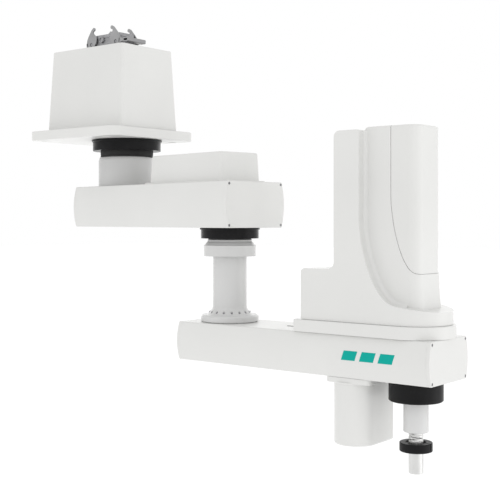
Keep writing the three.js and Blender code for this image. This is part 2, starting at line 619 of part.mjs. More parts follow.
function lowerCover() {
  const { rear, front, arcY, far, z, wall, flange } = LOWER_COVER;
  const outline = (inset) => {
    const r = (front - rear) / 2 - inset;
    const middle = (rear + front) / 2;
    const points = [];
    for (let i = 0; i <= 18; i += 1) {
      const angle = THREE.MathUtils.degToRad(180 + (180 * i) / 18);
      points.push([middle + r * Math.cos(angle), arcY + r * Math.sin(angle)]);
    }
    points.push([front - inset, far - inset - 2], [front - inset - 2, far - inset]);
    points.push([rear + inset + 2, far - inset], [rear + inset, far - inset - 2]);
    return points;
  };
  const top = ARM_2.bottom - GAP;
  return cut(
    join(
      raised(roundedOutline(flange.rear, flange.front, -flange.near, flange.far, flange.corner, 5), flange.z, top),
      raised(outline(0), z, flange.z + 1)),
    raised(outline(wall), z + wall, top + 1));
}

addTo(arm2, 'lower_motor_cover', lowerCover(), WHITE);
addTo(arm2, 'j3_ring', turned([
  [RING_3.bore, ARM_2.bottom - GAP], [RING_3.r, ARM_2.bottom - GAP], [RING_3.r, RING_3.z],
  [RING_3.lip, RING_3.z], [RING_3.lip, RING_3.z + RING_3.lipThick], [RING_3.bore, RING_3.z + RING_3.lipThick],
], shaftX), BLACK);
addTo(arm2, 'nut_bearing', turned([
  [NUT_BODY_R + 0.5, -362], [RING_3.bore - GAP, -362], [RING_3.bore - GAP, -348], [NUT_BODY_R + 0.5, -348],
], shaftX, 0, INNER_SIDES), STEEL);
addTo(arm2, 'z_motor_pulley', pulley(Z_MOTOR.x, Z_MOTOR.y, Z_MOTOR.pulleyR, 3.7, BELT_Z_Z), DARK_STEEL);
addTo(arm2, 'j4_motor_pulley', pulley(R_MOTOR.x, 0, R_MOTOR.pulleyR, 3.7, BELT_R_Z), DARK_STEEL);

const nutAt = (z) => [[NUT_PULLEY_R, z - 5.6], [NUT_PULLEY_R, z + 5.6]];
addTo(arm2, 'ball_nut', turned([
  [shaftBore, BELT_Z_Z - 8], [NUT_PULLEY_R + 2, BELT_Z_Z - 8], [NUT_PULLEY_R + 2, BELT_Z_Z - 5.6],
  ...nutAt(BELT_Z_Z), [NUT_PULLEY_R + 2, BELT_Z_Z + 5.6], [NUT_PULLEY_R + 2, BELT_Z_Z + 8],
  [17, BELT_Z_Z + 8], [17, -276], [shaftBore, -276],
], shaftX, 0, INNER_SIDES), STEEL);
addTo(arm2, 'spline_nut', turned([
  [shaftBore, RING_3.z + 0.5], [NUT_BODY_R, RING_3.z + 0.5], [NUT_BODY_R, BELT_R_Z - 8],
  [NUT_PULLEY_R + 2, BELT_R_Z - 8], [NUT_PULLEY_R + 2, BELT_R_Z - 5.6],
  ...nutAt(BELT_R_Z), [NUT_PULLEY_R + 2, BELT_R_Z + 5.6], [NUT_PULLEY_R + 2, BELT_R_Z + 8],
  [15, BELT_R_Z + 8], [15, -316], [shaftBore, -316],
], shaftX, 0, INNER_SIDES), STEEL);
addTo(arm2, 'spline_sleeve', turned([
  [shaftBore + 0.3, SLEEVE.z], [SLEEVE.r - 0.8, SLEEVE.z], [SLEEVE.r, SLEEVE.z + 0.8],
  [SLEEVE.r, RING_3.z + 0.2], [shaftBore + 0.3, RING_3.z + 0.2],
], shaftX, 0), WHITE);
addTo(arm2, 'z_belt', geometryOf(beltLoop(Z_MOTOR.x, Z_MOTOR.pulleyR, shaftX, NUT_PULLEY_R, BELT_Z_Z)), RUBBER);
addTo(arm2, 'j4_belt', geometryOf(beltLoop(R_MOTOR.x, R_MOTOR.pulleyR, shaftX, NUT_PULLEY_R, BELT_R_Z)), RUBBER);
addTo(arm2, 'shaft', turned([
  [0, SHAFT.z], [SHAFT.r - 0.8, SHAFT.z], [SHAFT.r, SHAFT.z + 0.8],
  [SHAFT.r, SHAFT.top - 0.8], [SHAFT.r - 0.8, SHAFT.top], [0, SHAFT.top],
], shaftX, 0, INNER_SIDES), STEEL);
addTo(arm2, 'stop_collar', cut(turned([
  [SHAFT.r + 0.05, COLLAR.z], [COLLAR.r - 0.8, COLLAR.z], [COLLAR.r, COLLAR.z + 0.8],
  [COLLAR.r, COLLAR.top - 0.8], [COLLAR.r - 0.8, COLLAR.top], [SHAFT.r + 0.05, COLLAR.top],
], shaftX, 0), block(shaftX, shaftX + 40, -COLLAR.slot / 2, COLLAR.slot / 2, COLLAR.z - 1, COLLAR.top + 1)), BLACK);
addTo(arm2, 'shaft_top_stop', turned([
  [SHAFT.r + 0.05, TOP_STOP.top - TOP_STOP.thick], [TOP_STOP.r, TOP_STOP.top - TOP_STOP.thick],
  [TOP_STOP.r, TOP_STOP.top], [SHAFT.r + 0.05, TOP_STOP.top],
], shaftX, 0, INNER_SIDES), BLACK);

export default robot;
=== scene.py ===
"""A four-axis SCARA robot arm that hangs from a ceiling frame, in a plain pale studio.

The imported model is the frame: its boxes and joints say where every piece goes. The pieces
that show are made again here with rounded edges and fine detail; the drives inside the
covers keep their solids and get a finish. Metres, +Z up, -Y is the near side.
"""

import json
import math

import bmesh
import bpy
from mathutils import Matrix, Vector


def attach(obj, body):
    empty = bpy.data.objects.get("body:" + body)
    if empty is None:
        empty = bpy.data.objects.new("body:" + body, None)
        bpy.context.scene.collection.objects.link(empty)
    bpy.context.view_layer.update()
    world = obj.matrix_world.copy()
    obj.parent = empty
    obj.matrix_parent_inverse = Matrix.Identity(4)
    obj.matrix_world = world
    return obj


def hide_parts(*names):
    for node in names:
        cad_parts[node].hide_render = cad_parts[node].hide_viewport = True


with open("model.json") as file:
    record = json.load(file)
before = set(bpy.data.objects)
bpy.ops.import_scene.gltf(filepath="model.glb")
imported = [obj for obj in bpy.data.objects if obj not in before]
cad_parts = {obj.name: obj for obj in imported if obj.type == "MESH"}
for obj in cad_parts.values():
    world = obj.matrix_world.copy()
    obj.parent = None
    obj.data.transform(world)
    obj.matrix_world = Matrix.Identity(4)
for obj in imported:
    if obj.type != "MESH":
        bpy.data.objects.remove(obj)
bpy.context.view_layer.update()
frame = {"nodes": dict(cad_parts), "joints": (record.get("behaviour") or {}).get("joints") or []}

MM = 0.001
FULL_TURN = 2 * math.pi

# ------------------------------------------------------------------ dimensions
ROUND_STEPS = 96            # sides of a turned piece
CORNER_STEPS = 8            # steps round a rounded corner
BARREL_STEPS = 24           # steps down an arm's bowed side
SHARP_ANGLE = 33            # degrees, above which an edge shades as an edge
EASED_ANGLE = 20            # degrees, above which an outline's corner is rounded


def mm(*sizes):
    """Sizes given in millimetres."""
    return [size * MM for size in sizes]


def points_mm(*points):
    """Points given in millimetres."""
    return [(a * MM, b * MM) for a, b in points]


def sized(**sizes):
    """A table of sizes given in millimetres."""
    return {name: size * MM for name, size in sizes.items()}


PLATE_CORNER = 16 * MM
BOLT_HOLES = sized(rear=-112, front=30, side=74, radius=6.5, ease=0.8)
PLATE_BORE = 40 * MM
GASKET = sized(corner=7, inside=13, front=3, inner_corner=6)
HOUSING = sized(taper=6, corner=6, wall=4)
ROOF_OPENING = sized(half_x=29.5, half_y=13.2, corner=2)

CONNECTOR_X = -34 * MM
CONNECTOR = sized(half_y=16.2, wall=3, end=5, flange=4, rim_drop=6, rim_x=1.2, rim_y=1.1)
BOSS = sized(x=-40.5, z=149.2, sunk=0.5)
SLIT = sized(x=-21.8, z=151.4, half_x=0.7, half_z=2.2)
CONTACT = sized(pitch=6.4, radius=0.95, chamber=2.1)
CONTACT_STEPS = range(-4, 5)
FLANGE_SCREW = sized(x=37, y=17.6)
PIVOT = sized(reach=28, z=143, radius=2.2)
LEVER_PLATE = 2.4 * MM
LEVER_CLEAR = 1.6 * MM

RING_1 = sized(body=54.2, flange_z=-18.1, bore=42.3)
COLUMN_1 = sized(back=5.5, chamfer=1.6, chamfer_z=6, spigot=34, bore=22)
RING_2 = sized(body=41.2, flange_z=-156.8, bore=31.1)
SEAL = sized(thick=5, lip=1.2)
SEAL_GAP = 0.3 * MM

ARM_1 = sized(half=51, bulge=4.9)
ARM_2 = sized(half=45.3, bulge=5.3)
ARM_WALL = 5 * MM
ARM_EDGE = 1.3 * MM
END_COVER = sized(thick=5, joint=0.12)
END_SCREW = sized(radius=1.7, inset_y=2.2, inset_z=3.6, depth=1.2)
MOTOR_HOOD = sized(lip=6, lip_thick=2, wall=2.5, corner=5, rear=2, front=1.5, half=2)
MOTOR_OPENING = mm(118, 264, -30.5, 30.5, 4)
DRIVE_OPENING = mm(158, 340, -28, 28, 4)
Z_MOTOR = sized(x=222.5, radius=12)
OUTLET = 28 * MM

NECK = sized(radius=31.6, cone_z=-173.5, lip=33.3, lip_z=-175.3, collar_z=-179, spigot=26.5)
TUBE = sized(radius=24.2, bore=18, flare_top=-264.4, flare=30.8, flare_z=-276.2, screw_circle=28.4)
TUBE_SCREWS = 16
MARK = sized(first=222, centre_z=-312, length=20, gap=6.5, tall=12, slant=4, sunk=0.3, proud=0.12)

PLINTH_RIM = 9 * MM
TOWER = sized(low_top=-205.2, slab_rear=208, slab_front=245.2, slab_top=-30.4, half=46, corner=8,
              inner=9, edge=2.2, wall=3)
SWEEP = points_mm((245.2, -140), (245.2, -180), (266, -244.5), (296, -248))
SKIRT_TIP = (347 * MM, -255.5 * MM)
SEAM = points_mm((282.1, -110), (282.1, -150), (298, -207), (318, -209))
SEAM_TIP = (340 * MM, -212 * MM)
COLUMN = sized(rear=222, front=321, half=31.6, corner=14, wall=3, fillet=5, inset=0.9, flare=2.6,
               flare_from=-205, flare_to=-250, top_edge=2.5, rear_corner=6)
# Painted shade: the outline of a thin dark strip behind the plinth that stands in for a thin shadow there.
PAINTED_SHADOW_STRIP = mm(103, 145, -3.4, 0.2, 1.4)

LOWER_COVER = sized(rear=195, front=250, round_y=-16.5, far=31, corner=8, wall=2.5, side_corner=2,
                    flange=6.9, ease=2.4, root=2)
RING_3 = sized(bore=30, lip=21.5, lip_thick=3)
SHAFT = sized(radius=9.15, lead=6, thread_end=-418, track_half=1.1, track_depth=0.5, step=0.6)
COLLAR = sized(slot=1.6, recess=1.8, screw_x=14.8, screw_y=4.5)


# ---------------------------------------------------------------------- places
def joint_at(name):
    """Where a joint's axis passes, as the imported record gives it."""
    joint = next(row for row in frame["joints"] if row["name"] == name)
    return Vector(joint["pos_m"])


ELBOW = joint_at("j2_turn")
SHAFT_AXIS = joint_at("j4_turn")
ARM_1_LENGTH = ELBOW.length
ARM_2_LENGTH = SHAFT_AXIS.x - ELBOW.x
IN_BASE = Matrix.Identity(4)
IN_ARM_1 = Matrix.Rotation(math.atan2(ELBOW.y, ELBOW.x), 4, "Z")
IN_ARM_2 = Matrix.Translation((ELBOW.x, ELBOW.y, 0))


def span(node, place=IN_BASE):
    """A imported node's lowest and highest corners, in the base's or an arm's own frame."""
    back = place.inverted()
    points = [back @ vertex.co for vertex in frame["nodes"][node].data.vertices]
    low = Vector(min(point[axis] for point in points) for axis in range(3))
    high = Vector(max(point[axis] for point in points) for axis in range(3))
    return low, high


# -------------------------------------------------------------------- outlines
def arc(x, y, radius, start, end, steps=CORNER_STEPS):
    """Points along an arc, with its angles in degrees."""
    angles = [math.radians(start + (end - start) * i / steps) for i in range(steps + 1)]
    return [(x + radius * math.cos(a), y + radius * math.sin(a)) for a in angles]


def circle(x, y, radius, steps=ROUND_STEPS):
    return arc(x, y, radius, 0, 360, steps)[:-1]


def rounded(x0, x1, y0, y1, radius):
    """A rectangle with rounded corners."""
    left, right, bottom, top = x0 + radius, x1 - radius, y0 + radius, y1 - radius
    return (arc(right, top, radius, 0, 90) + arc(left, top, radius, 90, 180)
            + arc(left, bottom, radius, 180, 270) + arc(right, bottom, radius, 270, 360))


def bullet(rear, x, half, corner):
    """A straight back and a half-round front centred on (x, 0)."""
    return (arc(x, 0, half, -90, 90, 48) + arc(rear + corner, half - corner, corner, 90, 180)
            + arc(rear + corner, corner - half, corner, 180, 270))


def barrel(low_z, high_z, arm, inset=0.0):
    """An arm's section across its length, with bowed sides, as (y, z)."""
    middle, rise = (low_z + high_z) / 2, (high_z - low_z) / 2 - inset
    points = []
    for side in (1, -1):
        for i in range(BARREL_STEPS + 1):
            t = side * (2 * i / BARREL_STEPS - 1)
            bow = arm["half"] + arm["bulge"] * (1 - t * t) - inset
            points.append((side * bow, middle + t * rise))
    return points


def curve(start, handle_1, handle_2, end, steps=28):
    """Points along a cubic curve."""
    p0, p1, p2, p3 = (Vector(point) for point in (start, handle_1, handle_2, end))
    points = []
    for i in range(steps + 1):
        t = i / steps
        ends = (1 - t) ** 3 * p0 + t ** 3 * p3
        points.append(tuple(ends + 3 * (1 - t) ** 2 * t * p1 + 3 * (1 - t) * t * t * p2))
    return points


def eased(points, radius):
    """A closed outline with its corners rounded, apart from those on the axis."""
    count = len(points)
    result = []
    for i in range(count):
        before, here, after = (Vector(points[(i + k) % count]) for k in (-1, 0, 1))
        into, out = here - before, after - here
        turn = into.angle(out, 0.0)
        if abs(here.x) < 1e-9 or turn < math.radians(EASED_ANGLE):
            result.append(tuple(here))
            continue
        reach = min(radius * math.tan(turn / 2), 0.45 * into.length, 0.45 * out.length)
        true_radius = reach / math.tan(turn / 2)
        into.normalize()
        out.normalize()
        centre = here + (out - into).normalized() * true_radius / math.cos(turn / 2)
        first = here - into * reach - centre
        side = 1 if into.cross(out) > 0 else -1
        steps = max(2, round(math.degrees(turn) / 22))
        for k in range(steps + 1):
            angle = side * turn * k / steps
            cos_a, sin_a = math.cos(angle), math.sin(angle)
            result.append((centre.x + first.x * cos_a - first.y * sin_a,
                           centre.y + first.x * sin_a + first.y * cos_a))
    return result


# ---------------------------------------------------------------------- solids
def loft(rings):
    """A closed solid through rings of equally many points."""
    solid = bmesh.new()
    rows = [[solid.verts.new(point) for point in ring] for ring in rings]
    for lower, upper in zip(rows, rows[1:]):
        for i in range(len(lower)):
            j = (i + 1) % len(lower)
            solid.faces.new((lower[i], lower[j], upper[j], upper[i]))
    solid.faces.new(rows[0][::-1])
    solid.faces.new(rows[-1])
    bmesh.ops.recalc_face_normals(solid, faces=solid.faces)
    return solid


def raised(outline, z0, z1, top=None):
    """An (x, y) outline raised from z0 to z1, to another outline if one is given."""
    upper = top or outline
    return loft([[(x, y, z0) for x, y in outline], [(x, y, z1) for x, y in upper]])


def across(outline, y0, y1):
    """An (x, z) outline run across Y."""
    return loft([[(x, y, z) for x, z in outline] for y in (y0, y1)])


def along(outline, x0, x1):
    """A (y, z) outline run along X."""
    return loft([[(x, y, z) for y, z in outline] for x in (x0, x1)])


def turned(profile, x=0.0, y=0.0, steps=ROUND_STEPS):
    """A closed (radius, z) profile turned about a vertical axis at (x, y)."""
    solid = bmesh.new()
    rings = []
    for radius, z in profile:
        if radius < 1e-9:
            rings.append([solid.verts.new((x, y, z))] * steps)
            continue
        angles = [FULL_TURN * i / steps for i in range(steps)]
        spots = [(x + radius * math.cos(a), y + radius * math.sin(a), z) for a in angles]
        rings.append([solid.verts.new(spot) for spot in spots])
    for k in range(len(rings)):
        lower, upper = rings[k], rings[(k + 1) % len(rings)]
        for i in range(steps):
            j = (i + 1) % steps
            corners = list(dict.fromkeys((lower[i], lower[j], upper[j], upper[i])))
            if len(corners) > 2:
                solid.faces.new(corners)
    bmesh.ops.recalc_face_normals(solid, faces=solid.faces)
    return solid


def rod(x, y, radius, z0, z1, steps=48):
    return raised(circle(x, y, radius, steps), z0, z1)


def softened(solid, width, keep=None, segments=4, least=30):
    """Rounds the solid's edges: all above an angle, or those of them that keep(edge) picks."""
    limit = math.radians(least)
    edges = [edge for edge in solid.edges
             if edge.calc_face_angle(0.0) > limit and (keep is None or keep(edge))]
    bmesh.ops.bevel(solid, geom=edges, offset=width, offset_type="OFFSET", segments=segments,
                    profile=0.5, affect="EDGES", clamp_overlap=True)
    return solid


def above(z):
    """Picks the edges that lie wholly above a height."""
    return lambda edge: min(vertex.co.z for vertex in edge.verts) > z


def combined(body, tool, operation):
    """Cuts a solid by a tool, joins them, or keeps what they share."""
    workpieces = []
    for solid in (body, tool):
        mesh = bpy.data.meshes.new("work")
        solid.to_mesh(mesh)
        solid.free()
        workpieces.append(bpy.data.objects.new("work", mesh))
        bpy.context.scene.collection.objects.link(workpieces[-1])
    modifier = workpieces[0].modifiers.new("boolean", "BOOLEAN")
    modifier.operation = operation
    modifier.object = workpieces[1]
    modifier.solver = "EXACT"
    result = bmesh.new()
    result.from_object(workpieces[0], bpy.context.evaluated_depsgraph_get())
    for workpiece in workpieces:
        bpy.data.meshes.remove(workpiece.data)
    return result


def cut(body, *tools):
    for tool in tools:
        body = combined(body, tool, "DIFFERENCE")
    return body


def gathered(*solids):
    """Several separate solids in one mesh."""
    result = bmesh.new()
    for solid in solids:
        mesh = bpy.data.meshes.new("work")
        solid.to_mesh(mesh)
        solid.free()
        result.from_mesh(mesh)
        bpy.data.meshes.remove(mesh)
    return result


def socket_screw(*sizes):
    """A screw head on Z = 0, with an eased rim and a six-sided socket, from sizes in millimetres."""
    radius, height, socket, depth = mm(*sizes)
    steps = 24
    hexagon = []
    for i in range(steps):
        angle = FULL_TURN * i / steps
        flat = math.cos(math.pi / 6) / math.cos((angle % (math.pi / 3)) - math.pi / 6)
        hexagon.append((socket * flat * math.cos(angle), socket * flat * math.sin(angle)))
    ease = 0.2 * radius
    rings = [[(x, y, 0) for x, y in circle(0, 0, radius, steps)],
             [(x, y, height - ease) for x, y in circle(0, 0, radius, steps)],
             [(x, y, height - ease * 0.3) for x, y in circle(0, 0, radius - ease * 0.3, steps)],
             [(x, y, height) for x, y in circle(0, 0, radius - ease, steps)],
             [(x, y, height) for x, y in hexagon],
             [(x, y, height - depth) for x, y in hexagon]]
    return loft(rings)


def set_at(solid, matrix):
    bmesh.ops.transform(solid, matrix=matrix, verts=solid.verts)
    return solid


def facing(axis, at):
    """A matrix that stands a Z-up piece on a point, with its top along an axis."""
    return Matrix.Translation(at) @ Vector(axis).to_track_quat("Z", "Y").to_matrix().to_4x4()


def piece(name, solid, body, material, place=IN_BASE, stands_for=()):
    """Turns a solid into a finished piece that rides on a body."""
    solid.transform(place)
    for face in solid.faces:
        face.smooth = True
    mesh = bpy.data.meshes.new(name)
    solid.to_mesh(mesh)
    solid.free()
    mesh.set_sharp_from_angle(angle=math.radians(SHARP_ANGLE))
    mesh.materials.append(material)
    made = bpy.data.objects.new(name, mesh)
    bpy.context.scene.collection.objects.link(made)
    weighted = made.modifiers.new("even_normals", "WEIGHTED_NORMAL")
    weighted.keep_sharp = True
    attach(made, body)
    if stands_for:
        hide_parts(*stands_for)
    return made


# ------------------------------------------------------------------- materials
class Finish:
    """A procedural material built up from small steps on one Principled shader."""

    def __init__(self, name, roughness, metallic=0.0, coat=0.0):
        self.material = bpy.data.materials.new(name)
        self.material.use_nodes = True
        self.tree = self.material.node_tree
        self.shader = self.tree.nodes["Principled BSDF"]
        self.shader.inputs["Metallic"].default_value = metallic
        self.shader.inputs["Coat Weight"].default_value = coat
        self.shader.inputs["Coat Roughness"].default_value = 0.25
        self.roughness = roughness
        self.place = self.add("ShaderNodeTexCoord").outputs["Object"]

    def add(self, kind, **settings):
        node = self.tree.nodes.new(kind)
        for key, value in settings.items():
            setattr(node, key, value)
        return node

    def link(self, source, target):
        self.tree.links.new(source, target)

    def noise(self, scale, detail=4.0, stretch=(1, 1, 1)):
        mapping = self.add("ShaderNodeMapping")
        mapping.inputs["Scale"].default_value = stretch
        self.link(self.place, mapping.inputs["Vector"])
        texture = self.add("ShaderNodeTexNoise")
        texture.inputs["Scale"].default_value = scale
        texture.inputs["Detail"].default_value = detail
        self.link(mapping.outputs["Vector"], texture.inputs["Vector"])
        return texture.outputs["Fac"]

    def ramp(self, source, *stops):
        node = self.add("ShaderNodeValToRGB")
        elements = node.color_ramp.elements
        while len(elements) < len(stops):
            elements.new(0.5)
        for element, (place, colour) in zip(elements, stops):
            element.position = place
            element.color = (*colour, 1)
        self.link(source, node.inputs["Fac"])
        return node.outputs["Color"]

    def edges(self, width):
        """A mask that is 1 on convex and concave edges and 0 on flats."""
        low, high = 0.02, 0.35
        bevel = self.add("ShaderNodeBevel", samples=4)
        bevel.inputs["Radius"].default_value = width
        geometry = self.add("ShaderNodeNewGeometry")
        dot = self.add("ShaderNodeVectorMath", operation="DOT_PRODUCT")
        self.link(bevel.outputs["Normal"], dot.inputs[0])
        self.link(geometry.outputs["Normal"], dot.inputs[1])
        spread = self.add("ShaderNodeMapRange")
        spread.inputs["From Min"].default_value = 1 - low
        spread.inputs["From Max"].default_value = 1 - high
        self.link(dot.outputs["Value"], spread.inputs["Value"])
        return spread.outputs["Result"]

    def colour(self, source):
        self.link(source, self.shader.inputs["Base Color"])

    def mixed(self, mask, base, over):
        node = self.add("ShaderNodeMix", data_type="RGBA")
        self.link(mask, node.inputs["Factor"])
        self.link(base, node.inputs[6])
        node.inputs[7].default_value = (*over, 1)
        return node.outputs[2]

    def rough(self, source, spread):
        node = self.add("ShaderNodeMapRange")
        node.inputs["To Min"].default_value = self.roughness - spread
        node.inputs["To Max"].default_value = self.roughness + spread
        self.link(source, node.inputs["Value"])
        self.link(node.outputs["Result"], self.shader.inputs["Roughness"])

    def bump(self, source, strength, distance):
        node = self.add("ShaderNodeBump")
        node.inputs["Strength"].default_value = strength
        node.inputs["Distance"].default_value = distance
        self.link(source, node.inputs["Height"])
        previous = self.shader.inputs["Normal"]
        if previous.is_linked:
            self.link(previous.links[0].from_socket, node.inputs["Normal"])
        self.link(node.outputs["Normal"], previous)

    def rings(self, scale):
        """Fine bands across Z, as a lathe leaves them."""
        wave = self.add("ShaderNodeTexWave", wave_type="BANDS", bands_direction="Z")
        wave.inputs["Scale"].default_value = scale
        wave.inputs["Distortion"].default_value = 0.4
        wave.inputs["Detail"].default_value = 2.0
        self.link(self.place, wave.inputs["Vector"])
        return wave.outputs["Fac"]


def shade(colour, factor):
    return tuple(min(1.0, channel * factor) for channel in colour)


def painted(name, colour, roughness, *, peel=0.06, tint=0.03, coat=0.0, edge=1.05, gloss=0.5):
    """Sprayed enamel or powder coat: a faint orange peel, uneven gloss and thinner edges."""
    finish = Finish(name, roughness, coat=coat)
    finish.shader.inputs["Specular IOR Level"].default_value = gloss
    broad = finish.noise(7.0, 3.0)
    base = finish.ramp(broad, (0.3, shade(colour, 1 - tint)), (0.7, shade(colour, 1 + tint * 0.4)))
    finish.colour(finish.mixed(finish.edges(0.9 * MM), base, shade(colour, edge)))
    finish.rough(finish.noise(55.0, 3.0), 0.05)
    finish.bump(finish.noise(420.0, 2.0), peel, 0.12 * MM)
    finish.bump(finish.noise(2600.0, 1.0), peel * 0.4, 0.03 * MM)
    return finish.material


def machined(name, colour, roughness, *, bands=900.0, tint=0.12, edge=1.3):
    """Turned and ground metal: fine lathe bands, stains and bright edges."""
    finish = Finish(name, roughness, metallic=1.0)
    base = finish.ramp(finish.noise(60.0, 5.0), (0.3, shade(colour, 1 - tint)), (0.75, colour))
    finish.colour(finish.mixed(finish.edges(0.5 * MM), base, shade(colour, edge)))
    finish.rough(finish.noise(140.0, 4.0, (1, 1, 6)), 0.07)
    finish.bump(finish.rings(bands), 0.1, 0.02 * MM)
    return finish.material


def anodised(name, colour, roughness, edge_colour):
    """Black anodised aluminium: lathe bands under a satin film, worn lighter on its edges."""
    finish = Finish(name, roughness)
    finish.shader.inputs["Specular IOR Level"].default_value = 0.12
    base = finish.ramp(finish.noise(35.0, 4.0), (0.3, shade(colour, 0.8)), (0.7, shade(colour, 1.25)))
    finish.colour(finish.mixed(finish.edges(0.6 * MM), base, edge_colour))
    finish.rough(finish.noise(90.0, 4.0, (1, 1, 5)), 0.06)
    finish.bump(finish.rings(520.0), 0.16, 0.04 * MM)
    return finish.material


def rubber(name, colour):
    """Moulded rubber: matt, with a fine pebble and paler dust in it."""
    finish = Finish(name, 0.82)
    base = finish.ramp(finish.noise(45.0, 5.0), (0.35, colour), (0.8, shade(colour, 1.7)))
    finish.colour(finish.mixed(finish.edges(0.5 * MM), base, shade(colour, 2.2)))
    finish.rough(finish.noise(300.0, 3.0), 0.08)
    finish.bump(finish.noise(1500.0, 2.0), 0.3, 0.08 * MM)
    return finish.material


def cast(name, colour, roughness, metallic):
    """Die-cast metal: a fine sand grain with rubbed, brighter edges."""
    finish = Finish(name, roughness, metallic=metallic)
    base = finish.ramp(finish.noise(180.0, 5.0), (0.3, shade(colour, 0.78)), (0.75, shade(colour, 1.1)))
    finish.colour(finish.mixed(finish.edges(0.5 * MM), base, shade(colour, 1.45)))
    finish.rough(finish.noise(240.0, 4.0), 0.08)
    finish.bump(finish.noise(1300.0, 3.0), 0.35, 0.1 * MM)
    return finish.material


WHITE_PAINT = painted("white_paint", (0.705, 0.705, 0.690), 0.42, coat=0.15)
WHITE_PLASTIC = painted("white_plastic", (0.705, 0.705, 0.690), 0.38, peel=0.07, coat=0.1)
COLUMN_GREY = painted("grey_paint", (0.53, 0.53, 0.525), 0.4, coat=0.1)
JOINT_GREY = painted("light_grey_paint", (0.60, 0.60, 0.595), 0.38, coat=0.15)
SLEEVE_WHITE = painted("sleeve_white", (0.64, 0.64, 0.635), 0.34, peel=0.05, coat=0.1)
BLACK_ANODISED = anodised("black_anodised", (0.009, 0.009, 0.0095), 0.34, (0.035, 0.035, 0.036))
BLACK_OXIDE = anodised("black_oxide", (0.010, 0.010, 0.0105), 0.45, (0.04, 0.04, 0.041))
BLACK_RUBBER = rubber("black_rubber", (0.014, 0.014, 0.014))
GASKET_RUBBER = rubber("gasket_rubber", (0.16, 0.16, 0.155))
BLACK_PLASTIC = painted("black_plastic", (0.02, 0.02, 0.021), 0.5, peel=0.2, tint=0.2, edge=2.0)
BRIGHT_STEEL = machined("bright_steel", (0.70, 0.70, 0.69), 0.36)
DARK_STEEL = machined("dark_steel", (0.30, 0.31, 0.32), 0.4)
SCREW_STEEL = machined("screw_steel", (0.30, 0.30, 0.31), 0.38, bands=2500.0)
PLATED_STEEL = machined("plated_steel", (0.36, 0.36, 0.365), 0.38, bands=300.0)
DIE_CAST = cast("grey_die_cast", (0.36, 0.36, 0.37), 0.45, 0.6)
INSERT_GREY = painted("grey_insert", (0.48, 0.47, 0.43), 0.55, peel=0.15)
CONTACT_BRASS = machined("contact_brass", (0.83, 0.72, 0.45), 0.28)
MARK_TEAL = painted("mark_teal", (0.002, 0.375, 0.318), 0.5, peel=0.04, tint=0.05, gloss=0.12)


# ------------------------------------------------------------------------ base
def base_plate():
    low, high = span("base_plate")
    outline = rounded(low.x, high.x, low.y, high.y, PLATE_CORNER)
    plate = softened(raised(outline, low.z, high.z), 1.2 * MM)
    radius, ease = BOLT_HOLES["radius"], BOLT_HOLES["ease"]
    mouth = radius + ease + MM
    hole = [(0, low.z - MM), (mouth, low.z - MM), (radius, low.z + ease),
            (radius, high.z - ease), (mouth, high.z + MM), (0, high.z + MM)]
    tools = [rod(0, 0, PLATE_BORE, low.z - MM, high.z + MM, ROUND_STEPS)]
    for x in (BOLT_HOLES["rear"], BOLT_HOLES["front"]):
        for y in (-BOLT_HOLES["side"], BOLT_HOLES["side"]):
            tools.append(turned(hole, x, y, 48))
    return cut(plate, *tools)


def base_gasket():
    low, high = span("base_gasket")
    inside = GASKET["inside"]
    ring = raised(rounded(low.x, high.x, low.y, high.y, GASKET["corner"]), low.z, high.z)
    opening = rounded(low.x + inside, high.x - GASKET["front"], low.y + inside, high.y - inside,
                      GASKET["inner_corner"])
    return cut(softened(ring, 0.3 * MM, segments=2), raised(opening, -MM, 5 * MM))


def base_housing():
    low, high = span("base_housing")
    taper, corner, wall = HOUSING["taper"], HOUSING["corner"], HOUSING["wall"]

    def section(inset):
        return rounded(low.x + inset, high.x - inset, low.y + inset, high.y - inset, corner)

    shell = raised(section(0), low.z, high.z, section(taper))
    shell = softened(shell, 1.6 * MM, keep=above(high.z - MM))
    room = raised(section(wall), low.z - MM, high.z - wall, section(taper + wall))
    half_x, half_y = ROOF_OPENING["half_x"], ROOF_OPENING["half_y"]
    opening = rounded(CONNECTOR_X - half_x, CONNECTOR_X + half_x, -half_y, half_y, ROOF_OPENING["corner"])
    return cut(shell, room, raised(opening, high.z - 10 * MM, high.z + 10 * MM))


